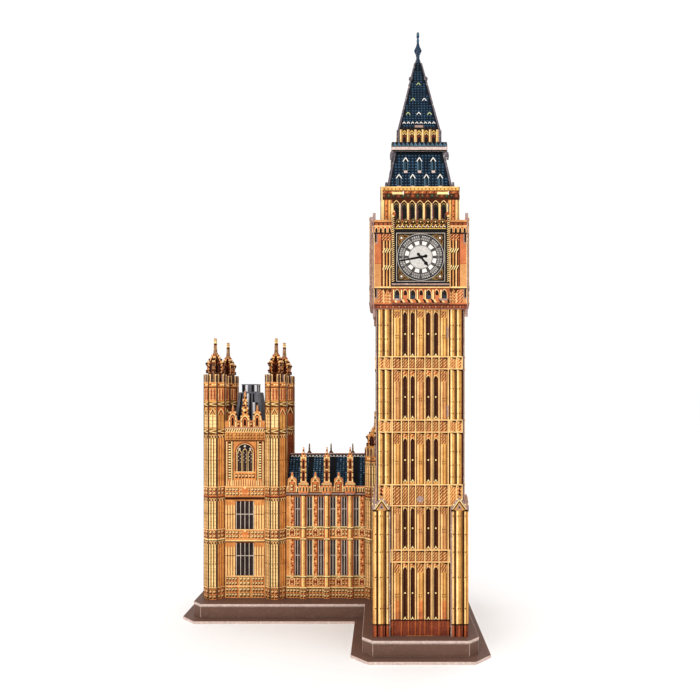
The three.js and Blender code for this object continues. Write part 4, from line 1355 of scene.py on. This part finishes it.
def pinnacle(piece, x, y):
    """A slim board pinnacle of the rear parapet, standing over the ridge."""
    s = Sheet(piece, Vector((x, y, 0)), Vector((0, -1, 0)))
    side = [(1.6, 108), (1.6, 134), (2.3, 135.4), (0.8, 138), (0.5, 144.4)]
    outline = side + [(-u, v) for u, v in side[::-1]]
    piece.prism(s.at, outline, "umber", 0, -2)
    for back in (False, True):
        face = Sheet(piece, Vector((x, y + (2 * MM if back else 0), 0)), Vector((0, 1 if back else -1, 0)))
        face.rect(-1.1, -0.3, 109, 134, "amber", 0.16)
        face.rect(0.1, 0.9, 109, 134, "brown", 0.16)
        face.disc(0, 135.5, 0.8, "pale", 0.2, 6)
        for v in (138.5, 141, 143):
            face.disc(0, v, 0.5, "gilt", 0.2, 6)


def wing_roof_art(piece):
    low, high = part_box("wing_roof")
    middle = (low + high) / 2
    reach = (high.y - low.y) / 2 / MM
    ridge = high.z / MM
    eave = 108.0
    rise = ridge - eave
    tall = math.hypot(rise, reach)
    half = (high.x - low.x) / 2 / MM
    left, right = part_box("shaft_brace")
    axis = (left.x + right.x) / 2
    for sign in (-1, 1):
        out = Vector((0, sign, 0))
        up = (UP * rise - out * reach).normalized()
        origin = Vector((middle.x, middle.y, eave * MM)) + out * reach * MM
        s = Sheet(piece, origin, (out * rise + UP * reach).normalized(), up)
        # no slates where the link turrets stand in front of the slope
        keep_out = [(axis - middle.x) / MM + side * 33.6 for side in (-1, 1)] if sign < 0 else []
        rows, pitch = 14, 2.6
        for j in range(rows):
            v = 1.4 + (j + 0.5) * (tall - 5.2) / rows
            n = int(2 * half / pitch)
            for i in range(n):
                u = (i - (n - 1) / 2) * pitch
                if any(abs(u - k) < 11 for k in keep_out) and v < 14:
                    continue
                s.rect(u - 1.0, u + 1.0, v - 0.85, v + 0.85, dice.choice(("slate_a", "slate_c")), 0.16)
                lit = dice.choice(("slate_b", "slate_b", "slate_a", "slate_light"))
                s.rect(u - 0.8, u + 0.45, v - 0.3, v + 0.65, lit, 0.2)
        s.rect(-half + 0.3, half - 0.3, tall - 1.4, tall - 0.3, "edge", 0.4)
        n = int(2 * half / 3.1)
        for i in range(n):
            chevron(s, (i - (n - 1) / 2) * 3.1, tall - 3.0, "white", 1.0, 0.3)
        for k in (1, 2, 3):  # painted shadow of each pinnacle, dark on the slates beside it
            left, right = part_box("wing_buttress_%d" % k)
            u = -sign * ((left.x + right.x) / 2 - middle.x) / MM + 4.6
            s.rect(u - 2.4, u + 2.4, 1, tall - 4.2, "slate_shade", 0.24)


def build_wing():
    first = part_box("wing_facade_front")[0].x
    pilasters = [first + (5.1 + BAY * k) * MM for k in range(8)]
    for node, side in (
        ("wing_facade_front", "front"),
        ("wing_facade_inner", "front"),
        ("wing_facade_back", "back"),
    ):
        low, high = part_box(node)
        middle = (low.x + high.x) / 2
        flip = 1 if side == "front" else -1
        places = [flip * (p - middle) / MM for p in pilasters]
        half = (high.x - low.x) / 2 / MM
        wall = Piece(roundels=True).board(node, "amber")
        wing_front_art(face_of(wall, node, FACING[side]), -half + 0.2, half - 0.2, places)
        wall.finish(node.replace("facade", "print"), node)
    for k in (1, 2, 3):
        node = "wing_buttress_%d" % k
        board = Piece(roundels=True).board(node, "orange")
        buttress_art(face_of(board, node, FACING["front"]))
        board.finish("buttress_print_%d" % k, node)
    roof = Piece().board("wing_roof", "slate", "edge", thin=2.9)
    wing_roof_art(roof)
    roof.finish("wing_roof_print", "wing_roof")

    rear = Piece()
    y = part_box("wing_facade_back")[0].y - 2.4 * MM
    for p in pilasters[:3]:
        pinnacle(rear, p + (BAY / 2 + 0.3) * MM, y)
    rear.finish("rear_pinnacles", slot="stone_print_board")

    end = Piece(roundels=True).board("wing_end_wall", "amber")
    s = face_of(end, "wing_end_wall", FACING["right"])
    half = width_of("wing_end_wall") / 2
    for low, high in ((33.6, 63.4), (77.0, 101.0)):
        for u in (-8.5, 0, 8.5):
            window(s, u - 2.6, u + 2.6, low, high, 2, (low + high) / 2 + 2)
        for u in (-12.6, -4.3, 4.3, 12.6):
            s.rect(u - 0.9, u + 0.5, low, high, "pale", 0.34)
            s.rect(u + 0.5, u + 1.0, low, high, "brown", 0.14)
    for low, high in ((15, 31.6), (65, 74.6)):
        s.tracery(-half + 0.5, half - 0.5, low, high, "rust", "amber", 0.14)
        s.band(half, high, high + 0.8, "pale", 0.4)
    s.band(half, CORNICE, CORNICE_LIP, "dark", 0.4)
    s.band(half, CORNICE_LIP, CORNICE_TOP, "pale", 0.5)
    ring(s, 0, 113.0, 4.2, 3.2, "pale", 0.4)
    s.disc(0, 113.0, 3.2, "glass", 0.2, 24)
    s.band(3.0, 112.7, 113.3, "lead_bar", 0.4)
    s.band(0.3, 110.0, 116.0, "lead_bar", 0.4)
    end.finish("wing_end_print", "wing_end_wall")

    for side in ("left", "right"):
        node = "link_turret_" + side
        piece = turret(node, LINK_DROP, side)
        crown_art(piece, node, LINK_CROWN, 0)
        piece.finish("link_print_" + side, node)


# ---------------------------------------------------------------- base and plain nodes
def build_base():
    for node in ("base_plate", "plinth_top", "plinth_wall"):
        Piece().board(node, "base", "base_edge", soften=0.22).finish(node.replace("_", "_board_"), node)


def dress_plain():
    """These plates keep their CAD solids and get a board material."""
    for node, ink in (
        ("shaft_brace", "core"),
        ("clock_floor", "edge"),
        ("clock_ledge", "umber"),
        ("belfry_cornice", "edge"),
    ):
        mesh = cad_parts[node].data
        mesh.materials.clear()
        mesh.materials.append(materials[ink])


# ---------------------------------------------------------------- stage, light and camera
SKY = 1.02
LENS, SHIFT_X, SHIFT_Y = 33.43, -0.0457, 0.0657  # on a 36 mm sensor
CAMERA_LEFT, CAMERA_AWAY, CAMERA_HIGH = 27.96, 474.5, 188.7  # from the tower's axis, its front and the base


def build_stage():
    low, high = (Vector(c) for c in cad_box)
    middle = (low + high) / 2
    bm = bmesh.new()
    bmesh.ops.create_grid(bm, x_segments=1, y_segments=1, size=40.0)
    mesh = bpy.data.meshes.new("floor")
    bm.to_mesh(mesh)
    bm.free()
    floor = bpy.data.objects.new("floor", mesh)
    floor.location = (middle.x, middle.y, low.z)
    bpy.context.scene.collection.objects.link(floor)
    look = {"spread": 0.005, "mottle": 4.0, "roughness": 0.9, "coat": 0.0, "bump": 0.02, "grain": 0.0}
    paper = printed("paper", linear(254, 254, 254), **look)
    mesh.materials.append(paper)

    world = bpy.data.worlds.new("studio")
    bpy.context.scene.world = world
    world.use_nodes = True
    world.node_tree.nodes["Background"].inputs["Color"].default_value = (1, 1, 1, 1)
    world.node_tree.nodes["Background"].inputs["Strength"].default_value = SKY

    # place from the middle of the model and size in metres, and power in watts
    for name, place, size, power in (
        ("key", (-0.75, -1.25, 1.25), 1.1, 7),
        ("fill", (-0.12, -1.7, 0.3), 0.9, 5),
        ("back", (0.4, 1.2, 1.3), 1.2, 3),
    ):
        data = bpy.data.lights.new(name, "AREA")
        data.size = size
        data.energy = power
        light = bpy.data.objects.new(name, data)
        light.location = Vector(place) + middle
        light.rotation_euler = (middle - light.location).to_track_quat("-Z", "Y").to_euler()
        bpy.context.scene.collection.objects.link(light)

    axis = (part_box("shaft_brace")[0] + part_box("shaft_brace")[1]) / 2
    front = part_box("shaft_wall_front")[0].y
    data = bpy.data.cameras.new("camera")
    data.sensor_width = 36
    data.lens = LENS
    data.shift_x, data.shift_y = SHIFT_X, SHIFT_Y
    data.clip_start, data.clip_end = 0.01, 50
    camera = bpy.data.objects.new("camera", data)
    camera.location = (axis.x - CAMERA_LEFT * MM, front - CAMERA_AWAY * MM, CAMERA_HIGH * MM)
    camera.rotation_euler = (math.pi / 2, 0, 0)
    bpy.context.scene.collection.objects.link(camera)
    bpy.context.scene.camera = camera
    bpy.context.scene.view_settings.view_transform = "Standard"


build_tower()
build_gatehouse()
build_wing()
build_base()
dress_plain()
build_stage()
